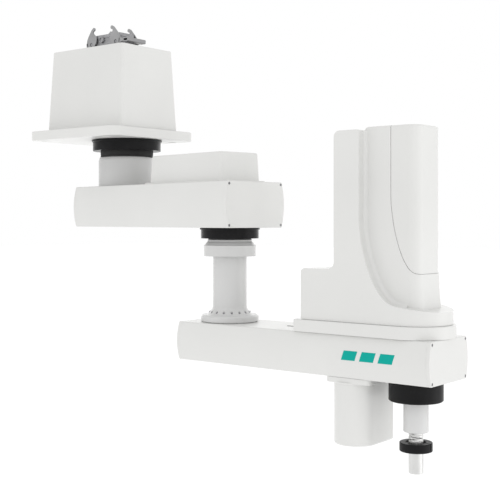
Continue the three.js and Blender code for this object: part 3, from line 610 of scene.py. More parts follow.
def connector_housing():
    """A die-cast bulkhead box: flange, walls with a rim, a boss and a slit on each long side."""
    low, high = span("connector_housing")
    half_y, wall = CONNECTOR["half_y"], CONNECTOR["wall"]
    x0, x1 = low.x + CONNECTOR["end"], high.x - CONNECTOR["end"]

    def box(grow_x, grow_y, corner):
        return rounded(x0 - grow_x, x1 + grow_x, -half_y - grow_y, half_y + grow_y, corner)

    thick = CONNECTOR["flange"]
    flange = rounded(low.x, high.x, -half_y - thick, half_y + thick, 5 * MM)
    flange = softened(raised(flange, low.z, low.z + thick), 0.7 * MM, segments=2)
    walls = softened(raised(box(0, 0, 4 * MM), low.z, high.z), 0.8 * MM, segments=3)
    rim = raised(box(CONNECTOR["rim_x"], CONNECTOR["rim_y"], 5 * MM), high.z - CONNECTOR["rim_drop"],
                 high.z - 1.6 * MM)
    rim = softened(rim, 0.6 * MM, segments=2)
    body = combined(combined(flange, walls, "UNION"), rim, "UNION")
    body = cut(body, raised(box(-wall, -wall, 2 * MM), low.z - MM, high.z + MM))
    profile = points_mm((0, 0), (5.4, 0), (5.4, 3), (4.7, 3.8), (3.4, 3.8), (3.1, 2.4), (0, 2.4))
    slit_x0, slit_x1 = SLIT["x"] - SLIT["half_x"], SLIT["x"] + SLIT["half_x"]
    slit_z0, slit_z1 = SLIT["z"] - SLIT["half_z"], SLIT["z"] + SLIT["half_z"]
    slit_outline = [(slit_x0, slit_z0), (slit_x1, slit_z0), (slit_x1, slit_z1), (slit_x0, slit_z1)]
    for side in (-1, 1):
        boss_at = (BOSS["x"], side * (half_y - BOSS["sunk"]), BOSS["z"])
        boss = set_at(turned(profile, steps=40), facing((0, side, 0), boss_at))
        body = combined(body, boss, "UNION")
        body = cut(body, across(slit_outline, side * (half_y - 1.4 * MM), side * (half_y + 4 * MM)))
    return body


def connector_pins():
    """The four pivot pins of the levers, with a groove at each head."""
    pins = []
    profile = points_mm((0, 0), (2.2, 0), (2.2, 3.4), (1.7, 3.5), (1.7, 4.0), (2.2, 4.1), (2.2, 4.9),
                        (0, 4.9))
    for end in (-1, 1):
        for side in (-1, 1):
            at = (CONNECTOR_X + end * PIVOT["reach"], side * 15 * MM, PIVOT["z"])
            pin = turned(eased(profile, 0.15 * MM), steps=32)
            pins.append(set_at(pin, facing((0, side, 0), at)))
    return gathered(*pins)


def contact_places():
    """Two rows of contacts along the connector."""
    pitch = CONTACT["pitch"]
    return [(CONNECTOR_X + step * pitch, side * pitch) for step in CONTACT_STEPS for side in (-1, 1)]


def connector_insert():
    """The grey contact carrier: a block on a neck, a raised rib and two rows of chambers."""
    low, high = span("connector_insert")

    def section(end, side, corner):
        return rounded(low.x + end, high.x - end, low.y + side, high.y - side, corner)

    block = raised(section(0, 0, 2.2 * MM), 133.5 * MM, high.z - 2 * MM)
    block = softened(block, 0.5 * MM, segments=2)
    neck = raised(section(3 * MM, 1.2 * MM, 2 * MM), low.z, 134.5 * MM)
    rib = rounded(low.x + 4 * MM, high.x - 4 * MM, -1.2 * MM, 1.2 * MM, 1 * MM)
    rib = softened(raised(rib, high.z - 3 * MM, high.z), 0.3 * MM, segments=2)
    body = combined(combined(block, neck, "UNION"), rib, "UNION")
    chambers = [rod(x, y, CONTACT["chamber"], high.z - 9 * MM, high.z, 20) for x, y in contact_places()]
    return cut(body, gathered(*chambers))


def connector_contacts():
    top = span("connector_insert")[1].z
    radius = CONTACT["radius"]
    profile = [(0, top - 9.5 * MM), (radius, top - 9.5 * MM), (radius, top - 3.4 * MM),
               (0.5 * MM, top - 2.6 * MM), (0, top - 2.5 * MM)]
    return gathered(*[turned(profile, x, y, 16) for x, y in contact_places()])


def connector_lever(end, handle_reach, handle_half, lean, has_window):
    """A locking lever: two hooked plates on the pivot pins and a handle between them."""
    pivot_x, pivot_z = CONNECTOR_X + end * PIVOT["reach"], PIVOT["z"]
    turn = Matrix.Rotation(math.radians(-lean), 2)

    def at(points):
        spots = [turn @ Vector(point) for point in points]
        return [(pivot_x + end * spot.x * MM, pivot_z + spot.y * MM) for spot in spots]

    hook = arc(-8.4, 23.4, 2.9, 35, 285, 16)
    outline = at([(10.2, 4), (8.6, 9.4), (5.2, 14.2), (0.6, 19.2), (-3.6, 24)] + hook
                 + [(-6.2, 18.6), (-8.2, 15.2), (-11.6, 12), (-13.6, 8.2), (-13, 3.6), (-10.4, -0.8),
                    (-6, -4.4), (3, -5), (9.4, -3.4)])
    inner = CONNECTOR["half_y"] + LEVER_CLEAR
    outer = inner + LEVER_PLATE
    sides = [sorted((side * inner, side * outer)) for side in (-1, 1)]
    solids = []
    for low_y, high_y in sides:
        plate = softened(across(outline, low_y, high_y), 0.5 * MM, segments=2, least=50)
        hole = rod(0, 0, PIVOT["radius"] + 0.7 * MM, -40 * MM, 40 * MM, 32)
        solids.append(cut(plate, set_at(hole, facing((0, 1, 0), (pivot_x, 0, pivot_z)))))
    back = handle_reach - 2 * handle_half
    arm = at([(7, -3.2), (back, -1.4), (back, 3.2), (8, 5.5)])
    for low_y, high_y in sides:
        solids.append(softened(across(arm, low_y, high_y), 0.4 * MM, segments=2, least=50))
    handle = across(at(rounded(back, handle_reach, -2.6, 4.2, 1.6)), -outer, outer)
    handle = softened(handle, 0.4 * MM, segments=2, least=50)
    if has_window:
        wall = 1.8
        window = at(rounded(back + wall, handle_reach - wall, -2.6 + wall, 4.2 - wall, 0.6))
        handle = cut(handle, across(window, -outer - MM, outer + MM))
    solids.append(handle)
    return gathered(*solids)


def flange_screws():
    """The four screws that hold the connector's flange on the roof."""
    low = span("connector_housing")[0]
    heads = []
    for end in (-1, 1):
        for side in (-1, 1):
            head = socket_screw(1.9, 1.2, 0.9, 0.8)
            at = (CONNECTOR_X + end * FLANGE_SCREW["x"], side * FLANGE_SCREW["y"],
                  low.z + CONNECTOR["flange"])
            heads.append(set_at(head, Matrix.Translation(at)))
    return gathered(*heads)


def make_base():
    for name, solid, slot, material, stands_for in (
            ("base_plate_body", base_plate(), "white_paint", WHITE_PAINT, ["base_plate"]),
            ("base_gasket_body", base_gasket(), "black_rubber", GASKET_RUBBER, ["base_gasket"]),
            ("base_housing_shell", base_housing(), "white_paint", WHITE_PAINT, ["base_housing"]),
            ("connector_box", connector_housing(), "grey_die_cast", DIE_CAST, ["connector_housing"]),
            ("connector_pivot_pins", connector_pins(), "plated_steel", SCREW_STEEL, ()),
            ("connector_flange_screws", flange_screws(), "dark_steel", SCREW_STEEL, ()),
            ("connector_carrier", connector_insert(), "grey_insert", INSERT_GREY, ["connector_insert"]),
            ("connector_contact_pins", connector_contacts(), "plated_steel", CONTACT_BRASS, ())):
        piece(name, solid, "base", material, IN_BASE, stands_for)
    for name, lever in (("front", connector_lever(1, 28.5, 5.6, 0, True)),
                        ("rear", connector_lever(-1, 11.5, 2.0, 7, False))):
        piece(f"lever_{name}_plates", lever, f"lever_{name}", PLATED_STEEL, IN_BASE,
              [f"connector_lever_{name}"])


# --------------------------------------------------------- the two turned joints
def flanged_ring(node, ring, place, x=0.0):
    """A black bearing ring: a thin wide flange over a plain body."""
    low, high = span(node, place)
    flange = (high.x - low.x) / 2
    body, bore, flange_z = ring["body"], ring["bore"], ring["flange_z"]
    profile = [(bore, high.z), (flange, high.z), (flange, flange_z), (body, flange_z), (body, low.z),
               (bore, low.z)]
    return turned(eased(profile, 0.7 * MM), x)


def seal(node, place, x=0.0):
    low, high = span(node, place)
    radius = (high.y - low.y) / 2
    inner, lip = radius - SEAL["thick"], SEAL["lip"]
    profile = [(inner, high.z), (radius, high.z), (radius, low.z + 3 * lip),
               (radius - 0.5 * lip, low.z + 2.2 * lip), (radius, low.z + 1.4 * lip), (radius, low.z),
               (inner, low.z)]
    return turned(eased(profile, 0.35 * MM), x)


def column_1():
    """The grey neck above arm 1: round at the front, drawn back behind."""
    low, high = span("j1_column", IN_ARM_1)
    radius, back = high.y, COLUMN_1["back"]
    top = span("j1_seal")[0].z - SEAL_GAP

    def oval(r):
        return arc(0, 0, r, -90, 90, 48) + arc(-back, 0, r, 90, 270, 48)

    waist, chamfer = top - COLUMN_1["chamfer_z"], COLUMN_1["chamfer"]
    rings = [(radius, low.z), (radius, waist), (radius - 0.5 * chamfer, waist + 3.4 * MM),
             (radius - chamfer, top - 0.6 * MM), (radius - chamfer - 0.6 * MM, top)]
    outside = loft([[(x, y, z) for x, y in oval(r)] for r, z in rings])
    spigot = rod(0, 0, COLUMN_1["spigot"], top - 1.5 * MM, high.z, ROUND_STEPS)
    bore = rod(0, 0, COLUMN_1["bore"], low.z - MM, high.z + MM)
    return cut(combined(outside, spigot, "UNION"), bore)


def bearing_and_seal(joint, ring, body, place, x=0.0):
    """A turned joint's black ring and the rubber seal under it."""
    piece(f"{joint}_bearing_ring", flanged_ring(f"{joint}_ring", ring, place, x), body,
          BLACK_ANODISED, place, [f"{joint}_ring"])
    piece(f"{joint}_lip_seal", seal(f"{joint}_seal", place, x), body, BLACK_RUBBER, place,
          [f"{joint}_seal"])


def make_joint_1():
    bearing_and_seal("j1", RING_1, "base", IN_BASE)
    piece("j1_column_body", column_1(), "arm_1", COLUMN_GREY, IN_ARM_1, ["j1_column"])


# ------------------------------------------------------------------------ arms
def arm_beam(node, arm, place, openings):
    """An arm's bowed hollow beam, open at both ends, with its long edges rounded."""
    low, high = span(node, place)
    beam = along(barrel(low.z, high.z, arm), low.x, high.x)
    beam = softened(beam, ARM_EDGE,
                    keep=lambda edge: abs(edge.verts[0].co.x - edge.verts[1].co.x) > 10 * MM)
    hollow = along(barrel(low.z, high.z, arm, ARM_WALL), low.x - 5 * MM, high.x + 5 * MM)
    return cut(beam, hollow, *openings)


def end_cover(arm, shell_node, place, end):
    """A flat cover on an arm's end, rounded over its outer edge, with four countersinks."""
    low, high = span(shell_node, place)
    face = high.x if end > 0 else low.x
    inner, outer = face + end * END_COVER["joint"], face + end * END_COVER["thick"]
    plate = along(barrel(low.z, high.z, arm), min(inner, outer), max(inner, outer))
    plate = softened(plate, ARM_EDGE,
                     keep=lambda edge: not all(abs(v.co.x - inner) < 0.01 * MM for v in edge.verts))
    radius, depth = END_SCREW["radius"] + 0.25 * MM, END_SCREW["depth"]
    profile = [(0, -depth), (radius, -depth), (radius, 2 * MM), (0, 2 * MM)]
    sinks = [set_at(turned(profile, steps=24), facing((end, 0, 0), at))
             for at in cover_screw_places(arm, low, high, outer)]
    return cut(plate, gathered(*sinks))


def cover_screw_places(arm, low, high, x):
    side = arm["half"] - END_SCREW["inset_y"]
    return [(x, sign * side, z) for sign in (-1, 1)
            for z in (low.z + END_SCREW["inset_z"], high.z - END_SCREW["inset_z"])]


def cover_screws(arm, shell_node, place):
    """The eight corner screws of an arm's two end covers."""
    low, high = span(shell_node, place)
    heads = []
    for end, x in ((1, high.x + END_COVER["thick"]), (-1, low.x - END_COVER["thick"])):
        for at in cover_screw_places(arm, low, high, x):
            head = socket_screw(1.7, 1.2, 0.8, 0.7)
            inside = Vector(at) - Vector((end * END_SCREW["depth"], 0, 0))
            heads.append(set_at(head, facing((end, 0, 0), inside)))
    return gathered(*heads)


def motor_cover():
    """The tapered cover over the elbow's motor, with a thin lip at its foot."""
    low, high = span("arm_1_motor_cover", IN_ARM_1)
    hood = MOTOR_HOOD
    lip, wall = hood["lip"], hood["wall"]

    def section(grow, drawn):
        inset = lip - grow
        return rounded(low.x + inset + drawn * hood["rear"], high.x - inset - drawn * hood["front"],
                       low.y + inset + drawn * hood["half"], high.y - inset - drawn * hood["half"],
                       hood["corner"])

    foot = softened(raised(section(lip, 0), low.z, low.z + hood["lip_thick"]), 0.6 * MM, segments=2,
                    keep=above(low.z + MM))
    cap = softened(raised(section(0, 0), low.z + MM, high.z, section(0, 1)), 2 * MM, keep=above(high.z - MM))
    room = raised(section(-wall, 0), low.z - MM, high.z - wall, section(-wall, 1))
    return cut(combined(foot, cap, "UNION"), room)


def make_beam(body, arm, place, openings):
    """An arm's beam, its two end covers and their screws."""
    shell = f"{body}_shell"
    piece(f"{body}_beam", arm_beam(shell, arm, place, openings), body, WHITE_PAINT,
          place, [shell])
    for name, end in (("front", 1), ("rear", -1)):
        piece(f"{body}_{name}_end", end_cover(arm, shell, place, end), body, WHITE_PAINT,
              place, [f"{body}_{name}_cover"])
    piece(f"{body}_cover_screws", cover_screws(arm, shell, place), body, SCREW_STEEL, place)


def make_arm_1():
    low, high = span("arm_1_shell", IN_ARM_1)
    roof = (high.z - 8 * MM, high.z + 2 * MM)
    openings = [raised(rounded(*MOTOR_OPENING), *roof), rod(0, 0, COLUMN_1["bore"], *roof),
                rod(ARM_1_LENGTH, 0, OUTLET, low.z - 2 * MM, low.z + 8 * MM)]
    make_beam("arm_1", ARM_1, IN_ARM_1, openings)
    piece("arm_1_motor_hood", motor_cover(), "arm_1", WHITE_PAINT, IN_ARM_1,
          ["arm_1_motor_cover"])


def make_joint_2():
    bearing_and_seal("j2", RING_2, "arm_1", IN_ARM_1, ARM_1_LENGTH)
    low, high = span("j2_neck", IN_ARM_2)
    collar = high.x
    top = span("j2_seal")[0].z - SEAL_GAP
    neck = turned(eased([
        (TUBE["bore"], low.z), (collar, low.z), (collar, NECK["collar_z"]),
        (35.4 * MM, NECK["collar_z"] + 0.9 * MM), (NECK["lip"], NECK["lip_z"]),
        (NECK["radius"], NECK["cone_z"]), (NECK["radius"], top), (NECK["spigot"], top),
        (NECK["spigot"], high.z), (TUBE["bore"], high.z)], 0.7 * MM))
    piece("j2_neck_body", neck, "arm_2", JOINT_GREY, IN_ARM_2, ["j2_neck"])
    piece("j2_tube_body", elbow_tube(), "arm_2", JOINT_GREY, IN_ARM_2, ["j2_tube"])
    piece("j2_flange_screws", elbow_screws(), "arm_2", SCREW_STEEL, IN_ARM_2)


def elbow_tube():
    """The tube between the arms: a flared foot with a ring of counterbored screws."""
    low, high = span("j2_tube", IN_ARM_2)
    foot = high.x
    flare, flare_z = TUBE["flare"], TUBE["flare_z"]
    profile = [(TUBE["bore"], low.z), (foot - 1.2 * MM, low.z), (foot, low.z + 1.2 * MM),
               (foot, flare_z - 3.4 * MM), (foot - 2.2 * MM, flare_z - 1.1 * MM),
               (flare + 1.6 * MM, flare_z - 1.1 * MM), (flare, flare_z)]
    profile += curve((flare - 0.4 * MM, flare_z + 0.6 * MM), (flare - 4 * MM, flare_z + 5.6 * MM),
                     (TUBE["radius"], flare_z + 6 * MM), (TUBE["radius"], TUBE["flare_top"]), 8)
    profile += [(TUBE["radius"], high.z), (TUBE["bore"], high.z)]
    tube = turned(eased(profile, 0.5 * MM))
    bores = [rod(x, y, 1.7 * MM, flare_z + 0.3 * MM, flare_z + 8 * MM, 20)
             for x, y in circle(0, 0, TUBE["screw_circle"], TUBE_SCREWS)]
    return cut(tube, gathered(*bores))


def elbow_screws():
    heads = []
    for x, y in circle(0, 0, TUBE["screw_circle"], TUBE_SCREWS):
        head = socket_screw(1.55, 3.0, 0.8, 1.0)
        heads.append(set_at(head, Matrix.Translation((x, y, TUBE["flare_z"] + 0.3 * MM))))
    return gathered(*heads)


def side_mark(low, high):
    """A plain accent on the near side: three slanted bars that follow the bowed wall."""
    middle, rise = (low.z + high.z) / 2, (high.z - low.z) / 2
    bars = []
    for k in range(3):
        start = MARK["first"] + k * (MARK["length"] + MARK["gap"])
        rings = []
        for depth in (-MARK["sunk"], MARK["proud"]):
            ring = []
            for u, w in ([(i / 4, 0) for i in range(5)] + [(1, i / 8) for i in range(1, 9)]
                         + [(1 - i / 4, 1) for i in range(1, 5)] + [(0, 1 - i / 8) for i in range(1, 8)]):
                x = start + u * MARK["length"] + w * MARK["slant"]
                z = MARK["centre_z"] + (w - 0.5) * MARK["tall"]
                t = (z - middle) / rise
                wall = ARM_2["half"] + ARM_2["bulge"] * (1 - t * t)
                ring.append((x, -(wall + depth), z))
            rings.append(ring)
        bars.append(grid_patch(rings))
    return gathered(*bars)


def grid_patch(rings):
    """A thin patch whose two faces are filled row by row, so that they follow a bow."""
    solid = bmesh.new()
    rows = [[solid.verts.new(point) for point in ring] for ring in rings]
    count = len(rows[0])
    for i in range(count):
        j = (i + 1) % count
        solid.faces.new((rows[0][i], rows[0][j], rows[1][j], rows[1][i]))
    for row in rows:
        bottom, right = row[:5], row[4:13]
        top, left = row[12:17][::-1], [row[0]] + row[17:][::-1] + [row[16]]
        for a in range(8):
            solid.faces.new((left[a], bottom[4] if a == 0 else right[a], right[a + 1], left[a + 1]))
    bmesh.ops.dissolve_degenerate(solid, dist=1e-6, edges=solid.edges)
    bmesh.ops.recalc_face_normals(solid, faces=solid.faces)
    return solid


def make_arm_2():
    low, high = span("arm_2_shell", IN_ARM_2)
    roof, floor = (high.z - 8 * MM, high.z + 2 * MM), (low.z - 2 * MM, low.z + 8 * MM)
    openings = [rod(0, 0, TUBE["bore"], *roof), raised(rounded(*DRIVE_OPENING), *roof),
                rod(ARM_2_LENGTH, 0, OUTLET, *floor), rod(Z_MOTOR["x"], 0, Z_MOTOR["radius"], *floor)]
    make_beam("arm_2", ARM_2, IN_ARM_2, openings)
    piece("arm_2_side_mark", side_mark(low, high), "arm_2", MARK_TEAL, IN_ARM_2)


# ----------------------------------------------------------------------- tower
def tower_plinth():
    low, high = span("tower_plinth", IN_ARM_2)
    half, rim = high.y, PLINTH_RIM
    block = softened(raised(bullet(low.x, ARM_2_LENGTH, half, 4 * MM), low.z, high.z), 1.6 * MM,
                     keep=above(high.z - MM))
    room = raised(bullet(low.x + rim, ARM_2_LENGTH, half - rim, 4 * MM), low.z - MM, high.z + MM)
    return cut(block, room)


def tower_outline(grow, foot):
    """The tower's side view: low box, slab, and the sweep down into the skirt."""
    rear = span("tower_rear_shell", IN_ARM_2)[0].x - grow
    slab_rear, slab_front = TOWER["slab_rear"] - grow, TOWER["slab_front"] + grow
    low_top, slab_top = TOWER["low_top"] + grow, TOWER["slab_top"] + grow
    r, inner = TOWER["corner"], TOWER["inner"]
    points = [(rear, foot)]
    points += arc(rear + r, low_top - r, r, 180, 90, 6)
    points += arc(slab_rear - inner, low_top + inner, inner, 270, 360, 8)
    points += arc(slab_rear + r, slab_top - r, r, 180, 90, 6)
    points += arc(slab_front - 3 * MM, slab_top - 3 * MM, 3 * MM, 90, 0, 5)
    points += [(x + grow, z + 0.9 * grow) for x, z in curve(*SWEEP) + [SKIRT_TIP]]
    points.append((SKIRT_TIP[0] + grow, foot))
    return points


def tower_rear_shell():
    """The slab and skirt: the side view cut to the plinth's plan, edges rounded."""
    low = span("tower_rear_shell", IN_ARM_2)[0]
    half, wall = TOWER["half"], TOWER["wall"]
    side_view = across(tower_outline(0, low.z), -half - 5 * MM, half + 5 * MM)
    plan = raised(bullet(low.x - 0.01 * MM, ARM_2_LENGTH, half, 3 * MM), low.z - 5 * MM, 5 * MM)
    block = combined(side_view, plan, "INTERSECT")
    bmesh.ops.remove_doubles(block, verts=block.verts, dist=0.02 * MM)
    bmesh.ops.dissolve_limit(block, angle_limit=math.radians(0.5), verts=block.verts, edges=block.edges)
    block = softened(block, TOWER["edge"], least=35,
                     keep=lambda edge: max(v.co.z for v in edge.verts) > low.z + 2 * MM)
    inside = combined(across(tower_outline(-wall, low.z - 5 * MM), -half, half),
                      raised(bullet(low.x + wall, ARM_2_LENGTH, half - wall, 2 * MM), low.z - 6 * MM, 5 * MM),
                      "INTERSECT")
    behind_column = raised(column_plan(-COLUMN["wall"], 0), low.z - 5 * MM, TOWER["slab_top"] - 5 * MM)
    return cut(block, inside, behind_column)


def column_plan(grow, flare):
    """The column's plan; its back runs into the slab."""
    rear, corner = COLUMN["rear"], COLUMN["corner"]
    half, front = COLUMN["half"] + grow, COLUMN["front"] + grow + flare
    return ([(rear, half), (rear, -half)] + arc(front - corner, corner - half, corner, 270, 360, 14)
            + arc(front - corner, half - corner, corner, 0, 90, 14))


def column_block(grow, top, top_edge):
    """The whole column, flaring a little toward the skirt, with a rounded top."""
    foot = span("tower_rear_shell", IN_ARM_2)[0].z
    rings = []
    for i in range(9):
        t = i / 8
        z = COLUMN["flare_from"] + (COLUMN["flare_to"] - COLUMN["flare_from"]) * t
        rings.append((z, column_plan(grow, COLUMN["flare"] * t * t)))
    rings.reverse()
    rings = [(foot, column_plan(grow, COLUMN["flare"]))] + rings
    for i in range(7):
        angle = math.pi / 2 * i / 6
        shrink = top_edge * (1 - math.cos(angle))
        rings.append((top - top_edge + top_edge * math.sin(angle), column_plan(grow - shrink, 0)))
    return loft([[(x, y, z) for x, y in plan] for z, plan in rings])


def seam_region(grow):
    """Everything above and ahead of the seam that the upper front shell ends at."""
    points = [(SEAM[0][0] - grow, 10 * MM)] + [(x - grow, z - grow * 0.8) for x, z in curve(*SEAM)]
    points += [(SEAM_TIP[0], SEAM_TIP[1] - grow), (SEAM_TIP[0], 10 * MM)]
    return across(points, -80 * MM, 80 * MM)


def fillet_strip():
    """A cove that runs along both sides of the column where it meets the slab and the skirt."""
    radius, bite = COLUMN["fillet"], 0.6 * MM
    half, front = COLUMN["half"], TOWER["slab_front"]
    path = [(front, TOWER["slab_top"] - 1 * MM), (front, -90 * MM)] + curve(*SWEEP)
    path.append((COLUMN["front"] - COLUMN["corner"] - 1 * MM, -249.6 * MM))
    strips = []
    for side in (-1, 1):
        rings = []
        for i, (x, z) in enumerate(path):
            before, after = path[max(i - 1, 0)], path[min(i + 1, len(path) - 1)]
            along_path = Vector((after[0] - before[0], after[1] - before[1])).normalized()
            normal = Vector((-along_path.y, along_path.x))
            ring = []
            for k in range(9):
                angle = math.pi / 2 * k / 8
                off, out = radius * (1 - math.sin(angle)), radius * (1 - math.cos(angle))
                ring.append((off, half + out))
            ring += [(-bite, half + radius), (-bite, half - bite), (radius, half - bite)]
            rings.append([(x + normal.x * off, side * y, z + normal.y * off) for off, y in ring])
        strips.append(loft(rings))
    return strips


def tower_column_shell():
    """The column below and behind the seam, with its coves."""
    top = span("tower_column_shell", IN_ARM_2)[1].z
    foot = span("tower_rear_shell", IN_ARM_2)[0].z
    column = column_block(0, top, COLUMN["top_edge"])
    room = column_block(-COLUMN["wall"], top - COLUMN["wall"], COLUMN["top_edge"])
    rear_x, round_off, past = TOWER["slab_front"] + 0.05 * MM, COLUMN["rear_corner"], 20 * MM
    behind = across(
        [(100 * MM, foot - past), (100 * MM, top + past), (rear_x + round_off, top + past)]
        + arc(rear_x + round_off, top - round_off, round_off, 90, 180)
        + curve(*SWEEP) + [SKIRT_TIP, (SKIRT_TIP[0], foot - past)], -90 * MM, 90 * MM)
    shell = cut(column, behind, seam_region(0.15 * MM))
    for strip in fillet_strip():
        shell = combined(shell, strip, "UNION")
    return cut(shell, room)


def tower_front_shell():
    """The upper front shell, set in a little from the column."""
    top = span("tower_front_shell", IN_ARM_2)[1].z
    inset = COLUMN["inset"]
    outer = combined(column_block(-inset, top, COLUMN["top_edge"]), seam_region(-0.15 * MM), "INTERSECT")
    room = column_block(-COLUMN["wall"] - inset, top - COLUMN["wall"] - inset, COLUMN["top_edge"])
    return cut(outer, room)


def painted_shadow_strip():
    """A thin dark strip just proud of arm 2's top behind the plinth: painted shade, standing in for a thin
    shadow there, not a real part.
    """
    top = span("arm_2_shell", IN_ARM_2)[1].z
    outline = rounded(*PAINTED_SHADOW_STRIP)
    return softened(raised(outline, top - 1 * MM, top + 0.5 * MM), 0.2 * MM, segments=2)


def make_tower():
    for name, solid, node in (("tower_plinth_ring", tower_plinth(), "tower_plinth"),
                              ("tower_slab_shell", tower_rear_shell(), "tower_rear_shell"),
                              ("tower_column_sides", tower_column_shell(), "tower_column_shell"),
                              ("tower_upper_front", tower_front_shell(), "tower_front_shell")):
        piece(name, solid, "arm_2", WHITE_PLASTIC, IN_ARM_2, [node])
    # Painted shade: this dark strip behind the plinth stands in for a thin shadow, not for the edging of a
    # slot.
    piece("plinth_shadow_strip", painted_shadow_strip(), "arm_2", GASKET_RUBBER, IN_ARM_2)


# --------------------------------------------------------------- shaft and tool
def lower_cover():
    """The Z motor's cover: round on the near side, flat behind, under a rounded flange."""
    low, high = span("lower_motor_cover", IN_ARM_2)
    cover = LOWER_COVER
    middle = (cover["rear"] + cover["front"]) / 2

    def plan(inset):
        radius = (cover["front"] - cover["rear"]) / 2 - inset
        far = cover["far"] - inset
        r = cover["side_corner"]
        return (arc(middle, cover["round_y"], radius, 180, 360, 32)
                + arc(middle + radius - r, far - r, r, 0, 90, 5)
                + arc(middle - radius + r, far - r, r, 90, 180, 5))

    flange_z = high.z - cover["flange"]
    flange = raised(rounded(low.x, high.x, low.y, high.y, cover["corner"]), flange_z, high.z)
    flange = softened(flange, 0.8 * MM, segments=3,
                      keep=lambda edge: max(v.co.z for v in edge.verts) < high.z - MM)
    rings = []
    ease, root = cover["ease"], cover["root"]
    for i in range(6):
        angle = math.pi / 2 * i / 5
        rings.append((low.z + ease * (1 - math.sin(angle)), plan(ease * (1 - math.cos(angle)))))
    rings.sort(key=lambda ring: ring[0])
    for i in range(6):
        angle = math.pi / 2 * i / 5
        rings.append((flange_z - root + root * math.sin(angle), plan(-root * (1 - math.cos(angle)))))
    rings.append((flange_z + MM, plan(-root)))
    body = loft([[(x, y, z) for x, y in outline] for z, outline in rings])
    room = raised(plan(cover["wall"]), low.z + cover["wall"], high.z + MM)
    return cut(combined(flange, body, "UNION"), room)


def spline_shaft():
    """The ball-screw spline: two crossing helical tracks over three straight ones, plain below them."""
    low, high = span("shaft", IN_ARM_2)
    radius, lead, end = SHAFT["radius"], SHAFT["lead"], SHAFT["thread_end"]
    track_half, track_depth, step = SHAFT["track_half"], SHAFT["track_depth"], SHAFT["step"]
    levels = [(low.z, radius - 0.9 * MM, 0), (low.z + 0.3 * MM, radius - 0.35 * MM, 0),
              (low.z + 0.9 * MM, radius, 0)]
    count = round((high.z - MM - end) / step)
    levels += [(end - 1.2 * MM, radius, 0)]
    levels += [(end + i * step, radius, min(1.0, i / 3)) for i in range(count + 1)]
    levels += [(high.z - 0.4 * MM, radius - 0.2 * MM, 1), (high.z, radius - 0.9 * MM, 0.4)]
    solid_rings = []
    for z, base, depth in levels:
        ring = []
        for k in range(ROUND_STEPS):
            angle = FULL_TURN * k / ROUND_STEPS
            turns = [(angle + hand * FULL_TURN * z / lead + math.pi) % FULL_TURN - math.pi
                     for hand in (-1, 1)]
            helix = min(abs(turn) for turn in turns) * 0.5 * lead / math.pi
            straight = abs((angle + math.pi / 3) % (FULL_TURN / 3) - math.pi / 3) * radius
            sink = max(math.sqrt(max(0.0, 1 - (helix / track_half) ** 2)),
                       0.8 * math.sqrt(max(0.0, 1 - (straight / (0.8 * track_half)) ** 2)))
            r = base - depth * track_depth * sink
            ring.append((ARM_2_LENGTH + r * math.cos(angle), r * math.sin(angle), z))
        solid_rings.append(ring)
    return loft(solid_rings)


def stop_collar():
    """A split clamp collar: a counterbore round the shaft and a slot with its screw."""
    low, high = span("stop_collar", IN_ARM_2)
    outer, half = high.y, COLLAR["slot"] / 2
    bore, recess_z = SHAFT["radius"] + 0.05 * MM, high.z - COLLAR["recess"]
    ring = turned(eased([(bore, low.z), (outer, low.z), (outer, high.z), (13.2 * MM, high.z),
                         (12.4 * MM, recess_z), (bore, recess_z)], 0.8 * MM), ARM_2_LENGTH)
    end = ARM_2_LENGTH + 40 * MM
    slot = raised([(ARM_2_LENGTH, -half), (end, -half), (end, half), (ARM_2_LENGTH, half)],
                  low.z - MM, high.z + MM)
    pocket = set_at(rod(0, 0, 2.6 * MM, 0, 30 * MM, 24), clamp_screw_place())
    return cut(ring, slot, pocket)


def clamp_screw_place():
    low, high = span("stop_collar", IN_ARM_2)
    at = (ARM_2_LENGTH + COLLAR["screw_x"], COLLAR["screw_y"], (low.z + high.z) / 2)
    return facing((0, 1, 0), at)


def clamp_screw():
    return set_at(socket_screw(2.4, 2.6, 1.3, 1.4), clamp_screw_place())


def make_shaft_end():
    piece("z_motor_hood", lower_cover(), "arm_2", WHITE_PLASTIC, IN_ARM_2,
          ["lower_motor_cover"])
    low, high = span("j3_ring", IN_ARM_2)
    ring = turned(eased([
        (RING_3["bore"], high.z), (high.y, high.z), (high.y, low.z + 1.2 * MM), (high.y - 1.2 * MM, low.z),
        (RING_3["lip"], low.z), (RING_3["lip"], low.z + RING_3["lip_thick"]),
        (RING_3["bore"], low.z + RING_3["lip_thick"])], 0.4 * MM), ARM_2_LENGTH)
    piece("j3_bearing_ring", ring, "arm_2", BLACK_ANODISED, IN_ARM_2, ["j3_ring"])
    low, high = span("spline_sleeve", IN_ARM_2)
    bore = SHAFT["radius"] + 0.4 * MM
    sleeve = turned(eased([(bore, low.z), (high.y - 0.5 * MM, low.z), (high.y, low.z + 0.5 * MM),
                           (high.y, high.z), (bore, high.z)], 0.5 * MM), ARM_2_LENGTH)
    piece("spline_sleeve_body", sleeve, "spline", SLEEVE_WHITE, IN_ARM_2, ["spline_sleeve"])
    piece("spline_shaft", spline_shaft(), "quill", BRIGHT_STEEL, IN_ARM_2, ["shaft"])
    piece("stop_collar_ring", stop_collar(), "quill", BLACK_OXIDE, IN_ARM_2,
          ["stop_collar"])
    piece("stop_collar_screw", clamp_screw(), "quill", SCREW_STEEL, IN_ARM_2)


INSIDE = (
    (BLACK_PLASTIC, ["wiring_box"]),
    (BLACK_ANODISED, ["j1_motor", "j2_motor", "j4_motor", "z_motor"]),
    (BRIGHT_STEEL, ["j1_reducer", "j2_reducer", "nut_bearing", "ball_nut", "spline_nut"]),
    (DARK_STEEL, ["j2_motor_pulley", "j2_input_pulley", "z_motor_pulley", "j4_motor_pulley"]),
    (BLACK_RUBBER, ["j2_belt", "z_belt", "j4_belt"]),
    (BLACK_OXIDE, ["shaft_top_stop"]),
)


